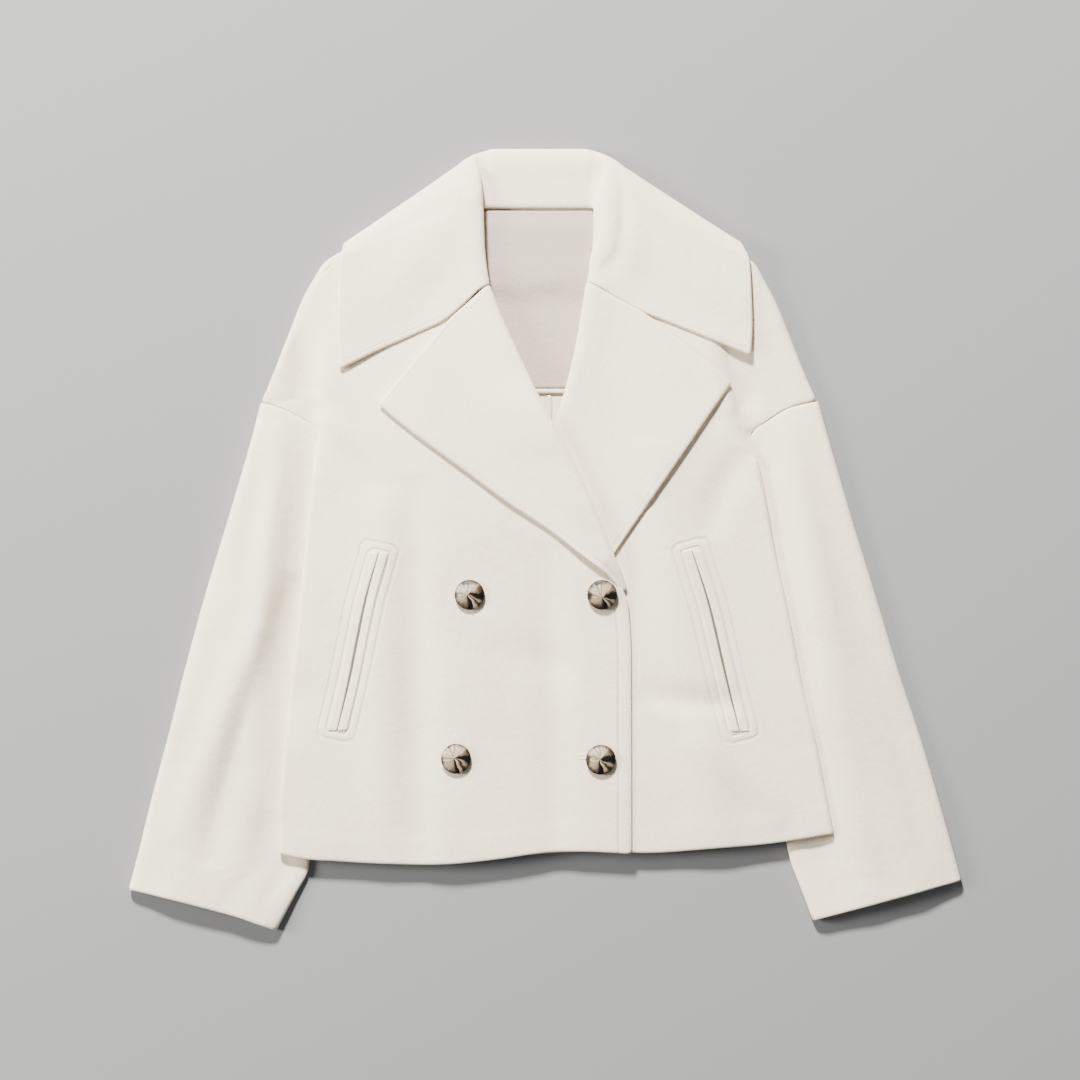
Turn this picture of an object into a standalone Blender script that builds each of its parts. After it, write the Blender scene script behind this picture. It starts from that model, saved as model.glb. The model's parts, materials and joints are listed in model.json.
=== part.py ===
"""A cropped, double-breasted wool coat laid flat on its back, its fronts buttoned and its wide collar and lapels open.

The coat is built from the pieces that are cut and sewn: two backs, two fronts, two sleeves, two lapels, a collar, a back
neck facing with its hem band, the tape on the centre back seam, two lips to each pocket and four shank buttons. Each
piece is one sheet of cloth, worked out row by row from tables of its own edges and then given its thickness.

Sizes are in millimetres until the mesh is made. +X is the picture's right, which is the wearer's left, +Y runs from the
hem to the collar, and +Z rises from the surface that the coat lies on. The origin is at the middle of its underside.
"""

import math

import bmesh
import bpy
import numpy as np

MM = 0.001

# Cloth
WOOL = 2.2
TWO_PLY = 3.0
FACING = 1.5
BAND = 2.0
TAPE = 0.8
LIP = 1.6
SEAM_GAP = 0.3
BUTT_GAP = 0.8
LAY_GAP = 0.4

# Levels of the middle of each layer, above the surface
GROUND = WOOL / 2
COLLAR_UNDER = TWO_PLY / 2
BACK_ON_COLLAR = TWO_PLY + LAY_GAP + WOOL / 2
BACK_ON_SLEEVE = 7.4
STAND_SEAM = 5.6
STAND_CREST = 9.5

# How the layers of the fronts lie
OVERLAP_RISE = 2.8
LAY_ON_FRONT = (WOOL + TWO_PLY) / 2 + 0.8
ROLL_RADIUS = 3.0
ROLL_LEAD = 2.0
SPRING_REACH = 45.0
EDGE_LIFT = 1.6
SLEEVE_EDGE_RADIUS = 3.7

CENTRE_BACK = 3.7
RIGHT, LEFT = "right", "left"
SIGN = {RIGHT: -1.0, LEFT: 1.0}


class Table:
    """Rows of numbers under named columns."""

    def __init__(self, columns, *rows):
        self.columns = columns.split()
        self.rows = np.array(rows, float)

    def column(self, name):
        return self.rows[:, self.columns.index(name)]

    def at(self, key, value, name):
        """The named column where the key column has this value, read straight between rows."""
        return np.interp(value, self.column(key), self.column(name))

    def smooth(self, steps):
        """The rows with others between them on smooth curves, which turn sharply at a row whose corner is 1."""
        rows = self.rows
        corner = self.column("corner") > 0.5
        ahead = np.vstack([rows[1:] - rows[:-1], rows[-1:] - rows[-2:-1]])
        behind = np.vstack([rows[1:2] - rows[:1], rows[1:] - rows[:-1]])
        middle = (ahead + behind) / 2
        leaving = np.where(corner[:, None], ahead, middle)
        arriving = np.where(corner[:, None], behind, middle)
        found = []
        for i in range(len(rows) - 1):
            for t in np.arange(steps) / steps:
                found.append(
                    rows[i] * (2 * t**3 - 3 * t**2 + 1)
                    + leaving[i] * (t**3 - 2 * t**2 + t)
                    + rows[i + 1] * (3 * t**2 - 2 * t**3)
                    + arriving[i + 1] * (t**3 - t**2)
                )
        found.append(rows[-1])
        return Table(" ".join(self.columns), *found)

    def named(self):
        """Each row as a dictionary."""
        return [dict(zip(self.columns, row)) for row in self.rows]


# The body's side edges below the armholes, and the folds that carry them on above, at each height y
SIDE = Table(
    "y right left",
    (-290, -243.0, 265.0),
    (-270, -243.0, 261.3),
    (-247, -243.0, 257.6),
    (-185, -238.3, 247.5),
    (-135, -233.0, 235.5),
    (-55, -224.0, 219.9),
    (-18, -220.6, 211.6),
    (66, -212.0, 196.0),
    (80, -210.5, 192.3),
    (98, -208.8, 187.5),
    (113, -206.0, 182.2),
    (123, -204.5, 179.0),
    (138, -208.0, 174.8),
    (151, -210.0, 172.0),
    (178, -209.5, 167.4),
    (217, -208.0, 160.0),
    (260, -196.0, 150.0),
)

# The front edges, and the line that each lapel rolls on above them
OPENING = Table(
    "y right left",
    (-290, 80.0, -98.0),
    (-100, 79.5, -98.0),
    (-66, 77.3, -95.0),
    (-43, 74.0, -88.0),
    (-24, 65.3, -78.0),
    (13, 51.5, -55.0),
    (39, 40.5, -38.0),
    (73, 24.8, -14.0),
    (103, 8.3, 8.3),
    (124, -2.8, 15.0),
    (150, -15.6, 22.5),
    (178, -28.5, 29.0),
    (207, -41.4, 34.0),
    (233, -51.5, 38.5),
    (252, -54.5, 37.5),
    (271, -56.2, 38.5),
    (300, -57.3, 40.3),
)

# How far the front's inner edge has turned into the roll: 0 at a plain edge, 1 behind a roll
TURNED = Table(
    "y right left",
    (-58, 0.0, 0.0),
    (-36, 1.35, 0.0),
    (-8, 1.35, 0.0),
    (8, 1.0, 0.0),
    (60, 1.0, 0.0),
    (95, 1.0, 1.0),
    (205, 1.0, 1.0),
    (225, 1.12, 1.05),
)

# The hem's height across the coat
HEM = Table(
    "x y",
    (-243, -288.0),
    (-221, -292.6),
    (-106, -298.0),
    (-41, -292.6),
    (23, -285.2),
    (80, -288.0),
    (124, -285.2),
    (222, -276.9),
    (261, -269.6),
)
HEM_LEVEL = -285.0
HEM_FADE = -170.0

# Rows of the body, below the armholes
BODY_LEVELS = (-285, -240, -190, -135, -80, -38, -10, 26, 56, 77)

# Rows from the underarm along the armhole to its tip, and up the shoulder to the neck. Curl is 1 where the front turns
# under to meet the back, and 0 where it meets the sleeve.
SHOULDER = {
    RIGHT: Table(
        "edge_x edge_y inner_y curl corner",
        (-211.5, 104.0, 104, 0, 1),
        (-231.8, 116.8, 121, 0, 0),
        (-246.0, 122.6, 136, 0, 0),
        (-260.4, 126.5, 150, 0.5, 1),
        (-247.5, 156.4, 170, 1, 0),
        (-234.6, 189.5, 189, 1, 0),
        (-221.7, 222.6, 204, 1, 0),
        (-203.0, 254.0, 216, 1, 1),
        (-165.0, 268.5, 236, 1, 0),
        (-120.0, 285.0, 260, 1, 0),
        (-77.0, 299.5, 288, 1, 1),
    ),
    LEFT: Table(
        "edge_x edge_y inner_y curl corner",
        (190.5, 100.0, 104, 0, 1),
        (205.0, 110.5, 121, 0, 0),
        (222.6, 121.4, 136, 0, 0),
        (250.2, 127.5, 150, 0.5, 1),
        (240.1, 147.2, 170, 1, 0),
        (225.4, 184.0, 189, 1, 0),
        (210.7, 219.9, 204, 1, 0),
        (193.0, 252.0, 216, 1, 1),
        (155.0, 268.0, 236, 1, 0),
        (110.0, 284.5, 260, 1, 0),
        (67.0, 299.5, 288, 1, 1),
    ),
}
ARMHOLE_ROWS = 4
UNDERARM = {RIGHT: (-196.0, 81.0), LEFT: (174.8, 64.4)}
LAST_BODY_ROW = {RIGHT: 92.0, LEFT: 88.0}
UNROLLED = (104.0, 76.0)

# Heights of the middle of the front's cloth: on the chest, in the valley outside the fold, and on the shoulder
LEVEL = Table(
    "y chest valley shoulder",
    (-290, 12.0, 6.2, 8.5),
    (50, 12.2, 6.2, 8.5),
    (98, 13.0, 7.0, 8.5),
    (150, 12.4, 8.2, 9.0),
    (217, 11.0, 10.5, 10.5),
    (260, 10.8, 10.8, 10.8),
    (300, 10.2, 10.2, 10.2),
)
SWELL = Table("y rise", (-290, -1.0), (-200, 0.5), (-60, 1.5), (60, 3.0), (150, 1.5), (230, 0.0))
SWELL_REACH = (0.02, 0.20)
SHOULDER_REACH = 34.0
FOLD_WIDTH = {RIGHT: 7.0, LEFT: 4.0}
OVERLAP_START = (-150.0, -102.0)

# How far the right front is lifted along its roll by the left lapel beneath it
LAPEL_LIFT = Table("y rise", (-75, 0.0), (-28, 3.9), (70, 3.9), (95, 5.4), (112, 5.4), (160, 1.5), (230, 0.0))
LAPEL_LIFT_REACH = (70.0, 18.0)

# Sleeve rings from the armhole to the cuff: the outer fold, the inner fold, how far the ring bows with the armhole seam,
# and the height of the upper wall at its crown, beside the body and tucked beneath the body
SLEEVE = {
    RIGHT: Table(
        "outer_x outer_y inner_x inner_y bow crown valley tucked corner",
        (-260.4, 124.8, -196.0, 79.8, 1.0, 8.5, 6.2, 4.4, 1),
        (-269.6, 90.2, -197.0, 50.0, 0.4, 10.5, 5.6, 4.4, 0),
        (-288.9, 23.9, -199.0, -15.0, 0.0, 14.0, 4.7, 4.4, 0),
        (-309.1, -42.3, -202.0, -78.0, 0.0, 15.5, 4.7, 4.4, 0),
        (-327.5, -108.6, -206.0, -142.0, 0.0, 15.5, 4.7, 4.4, 0),
        (-344.1, -174.8, -210.0, -207.0, 0.0, 15.0, 4.7, 4.4, 0),
        (-361.6, -241.0, -215.0, -262.0, 0.0, 14.0, 4.5, 4.3, 0),
        (-372.0, -284.0, -218.0, -303.0, 0.0, 13.5, 4.5, 4.3, 1),
        (-381.8, -321.1, -247.5, -358.8, 0.25, 13.5, 11.0, 9.5, 1),
    ),
    LEFT: Table(
        "outer_x outer_y inner_x inner_y bow crown valley tucked corner",
        (250.2, 125.7, 174.8, 63.2, 1.0, 8.5, 6.2, 4.4, 1),
        (261.5, 88.0, 178.5, 40.0, 0.4, 10.5, 5.6, 4.4, 0),
        (283.4, 12.9, 187.0, -15.0, 0.0, 14.0, 4.7, 4.4, 0),
        (304.5, -55.2, 196.0, -80.0, 0.0, 15.5, 4.7, 4.4, 0),
        (323.8, -118.7, 205.0, -142.0, 0.0, 15.5, 4.7, 4.4, 0),
        (345.9, -186.8, 213.0, -207.0, 0.0, 15.0, 4.7, 4.4, 0),
        (363.4, -246.6, 219.5, -262.0, 0.0, 14.0, 4.5, 4.3, 0),
        (373.5, -282.0, 227.0, -297.0, 0.0, 13.5, 4.5, 4.3, 1),
        (381.8, -312.8, 246.6, -349.6, 0.0, 13.5, 11.0, 9.5, 1),
    ),
}
CROWN_REACH = 38.0
TUCK_REACH = 10.0
OUTER_REACH = 48.0
SLEEVE_CURL_POINTS = 5
SLEEVE_TOP_POINTS = 7
SLEEVE_BOTTOM_POINTS = 3

# The back's outline where it dips round the underarm, with the height of each row at the centre back
UNDERARM_NOTCH = {
    RIGHT: Table("edge_x edge_y inner_y", (-200.0, 50.0, 48), (-190.0, 62.0, 62), (-188.0, 74.0, 76), (-195.3, 82.0, 88)),
    LEFT: Table("edge_x edge_y inner_y", (179.5, 32.0, 32), (169.0, 46.0, 46), (167.0, 58.0, 62), (174.2, 65.6, 78)),
}
BACK_BODY_LEVELS = {RIGHT: (-285, -240, -190, -135, -80, -30, 10, 36), LEFT: (-285, -240, -190, -135, -80, -30, 0, 18)}
SLEEVE_RAMP = (2.0, 19.0)
NOTCH_RISE = {RIGHT: (80.0, 56.0), LEFT: (62.0, 38.0)}
NECK_SEAM_Y = 302.8
NECK_SEAM_X = {RIGHT: -66.0, LEFT: 56.0}
COLLAR_RAMP = (32.0, 12.0)
COLLAR_SIDE_RAMP = (205.0, 190.0)

# Lower edge of the collar where it lies beneath the back
COLLAR_UNDER_EDGE = Table("x y", (-190, 266.0), (-128, 256.0), (-68, 251.0), (-6, 249.0), (58, 251.0), (122, 256.0), (182, 266.0))

# Collar sections that lie on a shoulder, from the gorge seam up to the shoulder line: the neck seam, the roll, the outer
# edge and how far the section bends down at the notch. Open is 1 where the stand leans open and the roll is a soft crest.
COLLAR_TOP = {
    RIGHT: Table(
        "neck_x neck_y roll_x roll_y edge_x edge_y bend open corner",
        (-56.4, 231.8, -51.5, 233.0, -188.6, 155.5, -9.6, 0, 1),
        (-59.4, 250.8, -54.5, 252.0, -189.8, 190.0, -4.0, 0, 0),
        (-61.1, 270.3, -56.2, 271.5, -189.6, 222.0, 0.0, 0, 0),
        (-62.0, 287.0, -57.0, 296.0, -188.6, 248.0, 0.0, 0, 1),
    ),
    LEFT: Table(
        "neck_x neck_y roll_x roll_y edge_x edge_y bend open corner",
        (43.4, 234.8, 38.5, 236.0, 188.6, 168.4, -4.5, 0, 1),
        (41.5, 252.0, 47.0, 254.0, 190.2, 196.0, -3.0, 0.7, 0),
        (43.8, 268.0, 57.0, 272.0, 189.5, 222.0, 0.0, 1, 0),
        (44.3, 284.0, 60.0, 297.0, 188.5, 246.0, 0.0, 1, 1),
    ),
}
# Sections round the shoulder line, where the collar turns from the top of the coat to its underside. Turn is in degrees.
COLLAR_TURN = {
    RIGHT: Table(
        "turn neck_x neck_y roll_x roll_y",
        (0, -62.4, 294.5, -58.0, 318.0),
        (45, -62.2, 299.5, -60.5, 336.0),
        (90, -60.0, 303.0, -64.0, 349.0),
        (135, -56.0, 303.9, -57.0, 355.0),
        (180, -50.0, 304.0, -49.5, 357.8),
    ),
    LEFT: Table(
        "turn neck_x neck_y roll_x roll_y",
        (0, 44.6, 294.0, 60.0, 319.0),
        (45, 45.2, 299.5, 59.0, 336.0),
        (90, 45.0, 303.0, 53.5, 349.0),
        (135, 43.0, 303.9, 47.5, 355.0),
        (180, 38.0, 304.0, 40.0, 357.8),
    ),
}
# The line that the fall folds on over the shoulder, which is the coat's outline there
COLLAR_FOLD = {
    RIGHT: {"near": (-68.0, 348.0), "far": (-185.0, 270.5)},
    LEFT: {"near": (54.0, 348.0), "far": (183.0, 269.0)},
}
# Sections across the back of the neck
COLLAR_BACK = Table(
    "neck_x roll_x edge_x",
    (-38, -38, -126),
    (-22, -22, -66),
    (-6, -6, -6),
    (12, 12, 56),
    (28, 29, 120),
)
NECK_BACK_Y = 304.0
ROLL_BACK_Y = 358.2
COLLAR_FALL = (0.13, 0.27, 0.50, 0.76, 1.0)
COLLAR_BEND = (0.45, 1.0, 0.72, 0.25, 0.0)
OPEN_REACH = 8.0
OPEN_DROP = 1.8

# Lapel rows from the gorge to the break: the roll line and the outer edge. The first row bends at the notch.
LAPEL = {
    RIGHT: Table(
        "roll_x roll_y edge_x edge_y corner",
        (-51.5, 232.2, -153.6, 124.2, 1),
        (-40.0, 203.5, -130.5, 105.0, 0),
        (-22.5, 165.0, -103.0, 84.5, 0),
        (-2.8, 124.0, -70.0, 60.5, 0),
        (18.5, 85.0, -35.0, 34.5, 0),
        (37.5, 46.0, 4.5, 8.5, 0),
        (53.0, 9.5, 36.0, -17.0, 0),
        (64.5, -22.0, 57.0, -31.5, 1),
    ),
    LEFT: Table(
        "roll_x roll_y edge_x edge_y corner",
        (38.5, 235.0, 172.0, 144.4, 1),
        (34.0, 207.0, 153.0, 118.0, 0),
        (28.3, 175.0, 133.0, 88.5, 0),
        (20.2, 141.0, 114.0, 61.0, 0),
        (9.5, 107.0, 97.0, 36.5, 1),
    ),
}
# Rows of the left lapel's part that the right front covers
COVERED_LAPEL = Table(
    "start_x start_y edge_x edge_y corner",
    (7.0, 97.0, 93.5, 31.0, 1),
    (24.0, 46.0, 76.0, 6.0, 0),
    (43.0, 3.0, 61.5, -15.0, 1),
)
NOTCH = {RIGHT: (-86.5, 202.4), LEFT: (91.1, 207.0)}
NOTCH_SHARE = 0.36
LAPEL_ACROSS = (0.08, 0.2, 0.36, 0.6, 0.82, 1.0)
TUCKED_ROLL_RADIUS = 2.1

# Back neck facing and the tapes sewn inside the back
FACING_EDGE = Table("y right left", (139.4, -64.0, 66.0), (200, -74.0, 70.0), (260, -72.0, 62.0), (302.8, -63.0, 44.0))
FACING_LOW = 139.4
FACING_ACROSS = (-1.0, -0.66, -0.33, 0.0, 0.33, 0.66, 1.0)
FACING_FIRST_ROW = -9
BAND_EDGES = (134.4, 139.0)
TAPE_WIDTH = 6.0
TAPE_ENDS = (-262.0, 134.0)

# Pocket slits and the width of each lip
POCKET = {
    RIGHT: Table("x y corner", (-151.8, -11.0, 1), (-164.7, -57.0, 0), (-179.4, -128.8, 0), (-190.4, -174.8, 1)),
    LEFT: Table("x y corner", (134.3, -9.2, 1), (150.5, -60.0, 0), (166.5, -128.0, 0), (178.5, -175.7, 1)),
}
LIP_WIDTH = 8.5

# Buttons
BUTTONS = Table("x y", (-69.0, -50.1), (52.4, -49.7), (-81.4, -200.1), (51.1, -201.0))
BUTTON_RADIUS = 14.0
SHANK_RADIUS = 4.0
BUTTON_PROFILE = Table(
    "radius height",
    (0.0, 7.6),
    (5.0, 7.3),
    (9.5, 6.2),
    (12.6, 4.6),
    (14.0, 3.2),
    (13.4, 2.4),
    (10.0, 2.0),
    (4.0, 1.8),
    (4.0, 0.0),
    (0.0, 0.0),
)
BUTTON_SIDES = 24

# Colour, roughness and metallic value of each material
FINISHES = {
    "wool_melton": ((0.81, 0.78, 0.72), 0.92, 0.0),
    "facing_twill": ((0.70, 0.66, 0.61), 0.85, 0.0),
    "cotton_tape": ((0.79, 0.77, 0.68), 0.8, 0.0),
    "mottled_horn": ((0.30, 0.20, 0.12), 0.25, 0.0),
}


def ramp(value, start, end):
    """0 at start and beyond, 1 at end and beyond, and a soft step between them."""
    t = np.clip((value - start) / (end - start), 0.0, 1.0)
    return t * t * (3 - 2 * t)


def mix(a, b, t):
    return a + (b - a) * t


def unit(vector):
    return vector / np.linalg.norm(vector)


def side_x(side, y):
    return SIDE.at("y", y, side)


def opening_x(side, y):
    return OPENING.at("y", y, side)


def with_hem(x, y):
    """The height y, moved with the hem's curve near the hem."""
    return y + (HEM.at("x", x, "y") - HEM_LEVEL) * ramp(y, HEM_FADE, HEM_LEVEL)


# Heights of the layers


def chest_height(x, y):
    """The middle of the left front's cloth, from side to side."""
    right, left = side_x(RIGHT, y), side_x(LEFT, y)
    across = (x - right) / (left - right)
    inside = ramp(np.minimum(across, 1 - across), *SWELL_REACH)
    return LEVEL.at("y", y, "chest") + inside * SWELL.at("y", y, "rise")


def right_front_rise(x, y):
    """How far the right front lies above the left one's surface, or would if that went on beneath it."""
    from_roll = opening_x(RIGHT, y) - x
    lifted = LAPEL_LIFT.at("y", y, "rise") * ramp(from_roll, *LAPEL_LIFT_REACH)
    return OVERLAP_RISE * ramp(x, *OVERLAP_START) + lifted


def front_height(side, x, y):
    return chest_height(x, y) + (right_front_rise(x, y) if side == RIGHT else 0.0)


def shoulder_height(y, outside):
    """The front's cloth outside the fold, at this distance from it."""
    valley = LEVEL.at("y", y, "valley")
    return mix(valley, LEVEL.at("y", y, "shoulder"), ramp(outside, 0.0, SHOULDER_REACH))


def sleeve_inner_x(side, y):
    table = SLEEVE[side]
    return np.interp(-y, -table.column("inner_y"), table.column("inner_x"))


def back_height(x, y):
    """The middle of the back's cloth: on the ground, on the collar behind the neck, and on the sleeves at the sides."""
    collar = (BACK_ON_COLLAR - GROUND) * ramp(COLLAR_UNDER_EDGE.at("x", x, "y") - y, *COLLAR_RAMP)
    collar *= ramp(abs(x), *COLLAR_SIDE_RAMP)
    side = RIGHT if x < 0 else LEFT
    inside = (sleeve_inner_x(side, y) - x) * SIGN[side]
    sleeve = (BACK_ON_SLEEVE - GROUND) * ramp(inside, SLEEVE_RAMP[1], SLEEVE_RAMP[0])
    sleeve *= ramp(y, *NOTCH_RISE[side])
    return GROUND + max(collar, sleeve)


# Rows and the normals of their ends


def inward_normals(points, inner):
    """At each point of a line, the unit vector across it towards the inner point of the same row."""
    found = []
    for i, (point, other) in enumerate(zip(points, inner)):
        before = points[max(i - 1, 0)]
        after = points[min(i + 1, len(points) - 1)]
        along = unit(after - before)
        across = np.array([-along[1], along[0]])
        found.append(across if np.dot(across, other - point) > 0 else -across)
    return found


def front_rows(side, steps):
    """The rows of one front from hem to neck: its outer and inner end, its curl, and whether it is above the armhole."""
    rows = []
    levels = [*BODY_LEVELS, LAST_BODY_ROW[side]]
    for low, high in zip(levels, levels[1:]):
        for t in np.arange(steps) / steps:
            rows.append((mix(low, high, t), None))
    rows.append((levels[-1], None))
    for row in SHOULDER[side].smooth(steps).named():
        rows.append((row["inner_y"], row))
    edges, inners, curls, above = [], [], [], []
    for inner_y, row in rows:
        if row is None:
            edges.append((side_x(side, inner_y), inner_y))
        else:
            edges.append((row["edge_x"], row["edge_y"]))
        inners.append((opening_x(side, inner_y), inner_y))
        curls.append(ramp(inner_y, *UNROLLED) if row is None else float(np.clip(row["curl"], 0, 1)))
        above.append(row is not None)
    edges = [np.array(p) for p in edges]
    inners = [np.array(p) for p in inners]
    return edges, inners, curls, above


def turned_back(side, inners, edges):
    """The inner ends moved back to where the front's cloth turns up into the roll."""
    distance = ROLL_RADIUS + ROLL_LEAD + BUTT_GAP
    moved = []
    for point, normal in zip(inners, inward_normals(inners, edges)):
        moved.append(point + normal * distance * TURNED.at("y", point[1], side))
    return moved


FLAT_OFFSETS = (0.0, 1.2, 2.4, 3.6, 4.8)
LEAST_REACH = 7.2
CURL_ANGLES = tuple(math.radians(a) for a in (-90, -45, 0, 45, 90))
ACROSS_CHEST = (0.13, 0.28, 0.44, 0.6, 0.75, 0.88, 1.0)


def front_bottom(side, edge, above):
    """Where the curl of the front's edge ends, level with the back's cloth."""
    if above:
        return back_height(*edge)
    return BACK_ON_SLEEVE + 1.4 * ramp(edge[1], 50.0, 95.0)


def front_grid(side, steps):
    """Each row runs from where its curl meets the back, round the edge, over the fold and on to the inner end."""
    edges, inners, curls, above = front_rows(side, steps)
    normals = inward_normals(edges, inners)
    inners = turned_back(side, inners, edges)
    grid = []
    for edge, inner, normal, curl, high in zip(edges, inners, normals, curls, above):
        along = unit(inner - edge)
        inward = unit(mix(along, normal, curl))
        if high:
            fold_x = side_x(side, mix(edge[1], inner[1], 0.2))
            reach = max((fold_x - edge[0]) / along[0], LEAST_REACH)
            top = shoulder_height(edge[1], reach)
            radius = (top - front_bottom(side, edge, high)) / 2
        else:
            top = chest_height(*edge)
            radius = (top - front_bottom(side, edge, high)) / 2
            reach = max(2 * radius, LEAST_REACH)
        fold = edge + along * reach
        rounded = [radius * (1 - math.cos(angle)) for angle in CURL_ANGLES]
        plan = [edge + inward * mix(flat, offset, curl) for flat, offset in zip(FLAT_OFFSETS, rounded)]
        plan += [mix(plan[-1], fold, 1 / 3), mix(plan[-1], fold, 2 / 3), fold]
        foot = fold + along * min(FOLD_WIDTH[side], 0.3 * np.linalg.norm(inner - fold))
        plan += [foot, *(mix(foot, inner, t) for t in ACROSS_CHEST)]
        row = []
        for column, (x, y) in enumerate(plan):
            if high and column < 8:
                z = shoulder_height(y, np.linalg.norm((x, y) - fold))
            else:
                z = front_height(side, x, y)
            if column < 4:
                z = mix(z, top - radius + radius * math.sin(CURL_ANGLES[column]), curl)
            row.append((x, with_hem(x, y), z))
        grid.append(row)
    return np.array(grid)


def back_grid(side, steps):
    """One half of the back, from the centre back seam to its outer edge."""
    rows = []
    for level in BACK_BODY_LEVELS[side]:
        y = with_hem(side_x(side, level), level)
        radius = (chest_height(side_x(side, y), y) - BACK_ON_SLEEVE) / 2
        rows.append((side_x(side, y) - SIGN[side] * (radius + BUTT_GAP), y, level))
    rows += [tuple(row) for row in UNDERARM_NOTCH[side].rows]
    shoulder = SHOULDER[side].smooth(steps).named()
    edges = [np.array((row["edge_x"], row["edge_y"])) for row in shoulder]
    centres = [np.array((0.0, row["inner_y"])) for row in shoulder]
    for row, edge, normal in zip(shoulder, edges, inward_normals(edges, centres)):
        fold_x = side_x(side, edge[1])
        top = shoulder_height(edge[1], abs(edge[0] - fold_x))
        radius = (top - back_height(*edge)) / 2
        x, y = edge + normal * (radius + BUTT_GAP) * np.clip(row["curl"], 0, 1)
        rows.append((x, y, row["inner_y"]))
    rows.append((NECK_SEAM_X[side], NECK_SEAM_Y, NECK_SEAM_Y))
    seam = CENTRE_BACK + SIGN[side] * SEAM_GAP / 2
    grid = []
    for x, y, centre_y in rows:
        width = abs(x - seam)
        tuck = abs(x - sleeve_inner_x(side, y)) if y < UNDERARM[side][1] - 20 else 0.0
        first = min(max(tuck - SLEEVE_RAMP[0], 6.0), 0.3 * width)
        reach = min(SLEEVE_RAMP[1] - SLEEVE_RAMP[0], 0.2 * width)
        shares = [0.0, first, first + reach / 2, first + reach]
        shares = [share / width for share in shares]
        shares += [mix(shares[-1], 1.0, t) for t in (0.25, 0.5, 0.75, 1.0)]
        row = []
        for share in shares:
            px, py = mix(x, seam, share), mix(y, centre_y, share)
            if y < HEM_FADE:
                py = with_hem(px, centre_y)
            row.append((px, py, back_height(px, py)))
        grid.append(row)
    return np.array(grid)


# Sleeves


def armhole_bow(side, share):
    """How far the armhole seam stands above the straight line from its tip to the underarm."""
    table = SHOULDER[side]
    seam = np.column_stack([table.column("edge_x"), table.column("edge_y")])[:ARMHOLE_ROWS]
    seam = np.vstack([UNDERARM[side], seam])
    tip, underarm = seam[-1], seam[0]
    x = mix(tip[0], underarm[0], share)
    order = np.argsort(seam[:, 0])
    return np.interp(x, seam[order, 0], seam[order, 1]) - mix(tip[1], underarm[1], share)


def sleeve_grid(side, steps):
    grid = []
    for ring in SLEEVE[side].smooth(steps).named():
        outer = np.array((ring["outer_x"], ring["outer_y"]))
        inner = np.array((ring["inner_x"], ring["inner_y"]))
        length = np.linalg.norm(inner - outer)
        along = (inner - outer) / length
        inner_radius = (ring["tucked"] - GROUND) / 2
        outer_top = GROUND + 2 * SLEEVE_EDGE_RADIUS

        def place(distance, height):
            share = distance / length
            x, y = outer + along * distance
            return x, y + ring["bow"] * armhole_bow(side, np.clip(share, 0, 1)), height

        def top(distance):
            x, y, _ = place(distance, 0.0)
            outside = (side_x(side, y) - x) * -SIGN[side]
            z = mix(ring["tucked"], ring["valley"], ramp(outside, -TUCK_REACH, 0.0))
            z = mix(z, ring["crown"], ramp(outside, 0.0, CROWN_REACH))
            return mix(outer_top, z, ramp(distance, SLEEVE_EDGE_RADIUS, OUTER_REACH))

        angles = np.linspace(math.pi / 2, -math.pi / 2, SLEEVE_CURL_POINTS)
        points = []
        for angle in angles:
            reach = SLEEVE_EDGE_RADIUS * (1 - math.cos(angle))
            points.append(place(reach, GROUND + SLEEVE_EDGE_RADIUS * (1 + math.sin(angle))))
        low, high = SLEEVE_EDGE_RADIUS, length - inner_radius
        for share in np.linspace(0, 1, SLEEVE_BOTTOM_POINTS + 2)[1:-1]:
            points.append(place(mix(low, high, share), GROUND))
        for angle in angles[::-1]:
            reach = length - inner_radius * (1 - math.cos(angle))
            points.append(place(reach, GROUND + inner_radius * (1 + math.sin(angle))))
        for share in np.linspace(1, 0, SLEEVE_TOP_POINTS + 2)[1:-1]:
            distance = mix(low, high, share)
            points.append(place(distance, top(distance)))
        points.append(points[0])
        grid.append(points)
    return np.array(grid)


# Collar and lapels


def spring(distance, radius):
    """How far a turned-over piece stands above where it would lie, at this distance from its roll."""
    return (2 * radius + LAY_GAP - LAY_ON_FRONT) * (1 - ramp(distance, 0.0, SPRING_REACH))


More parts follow.
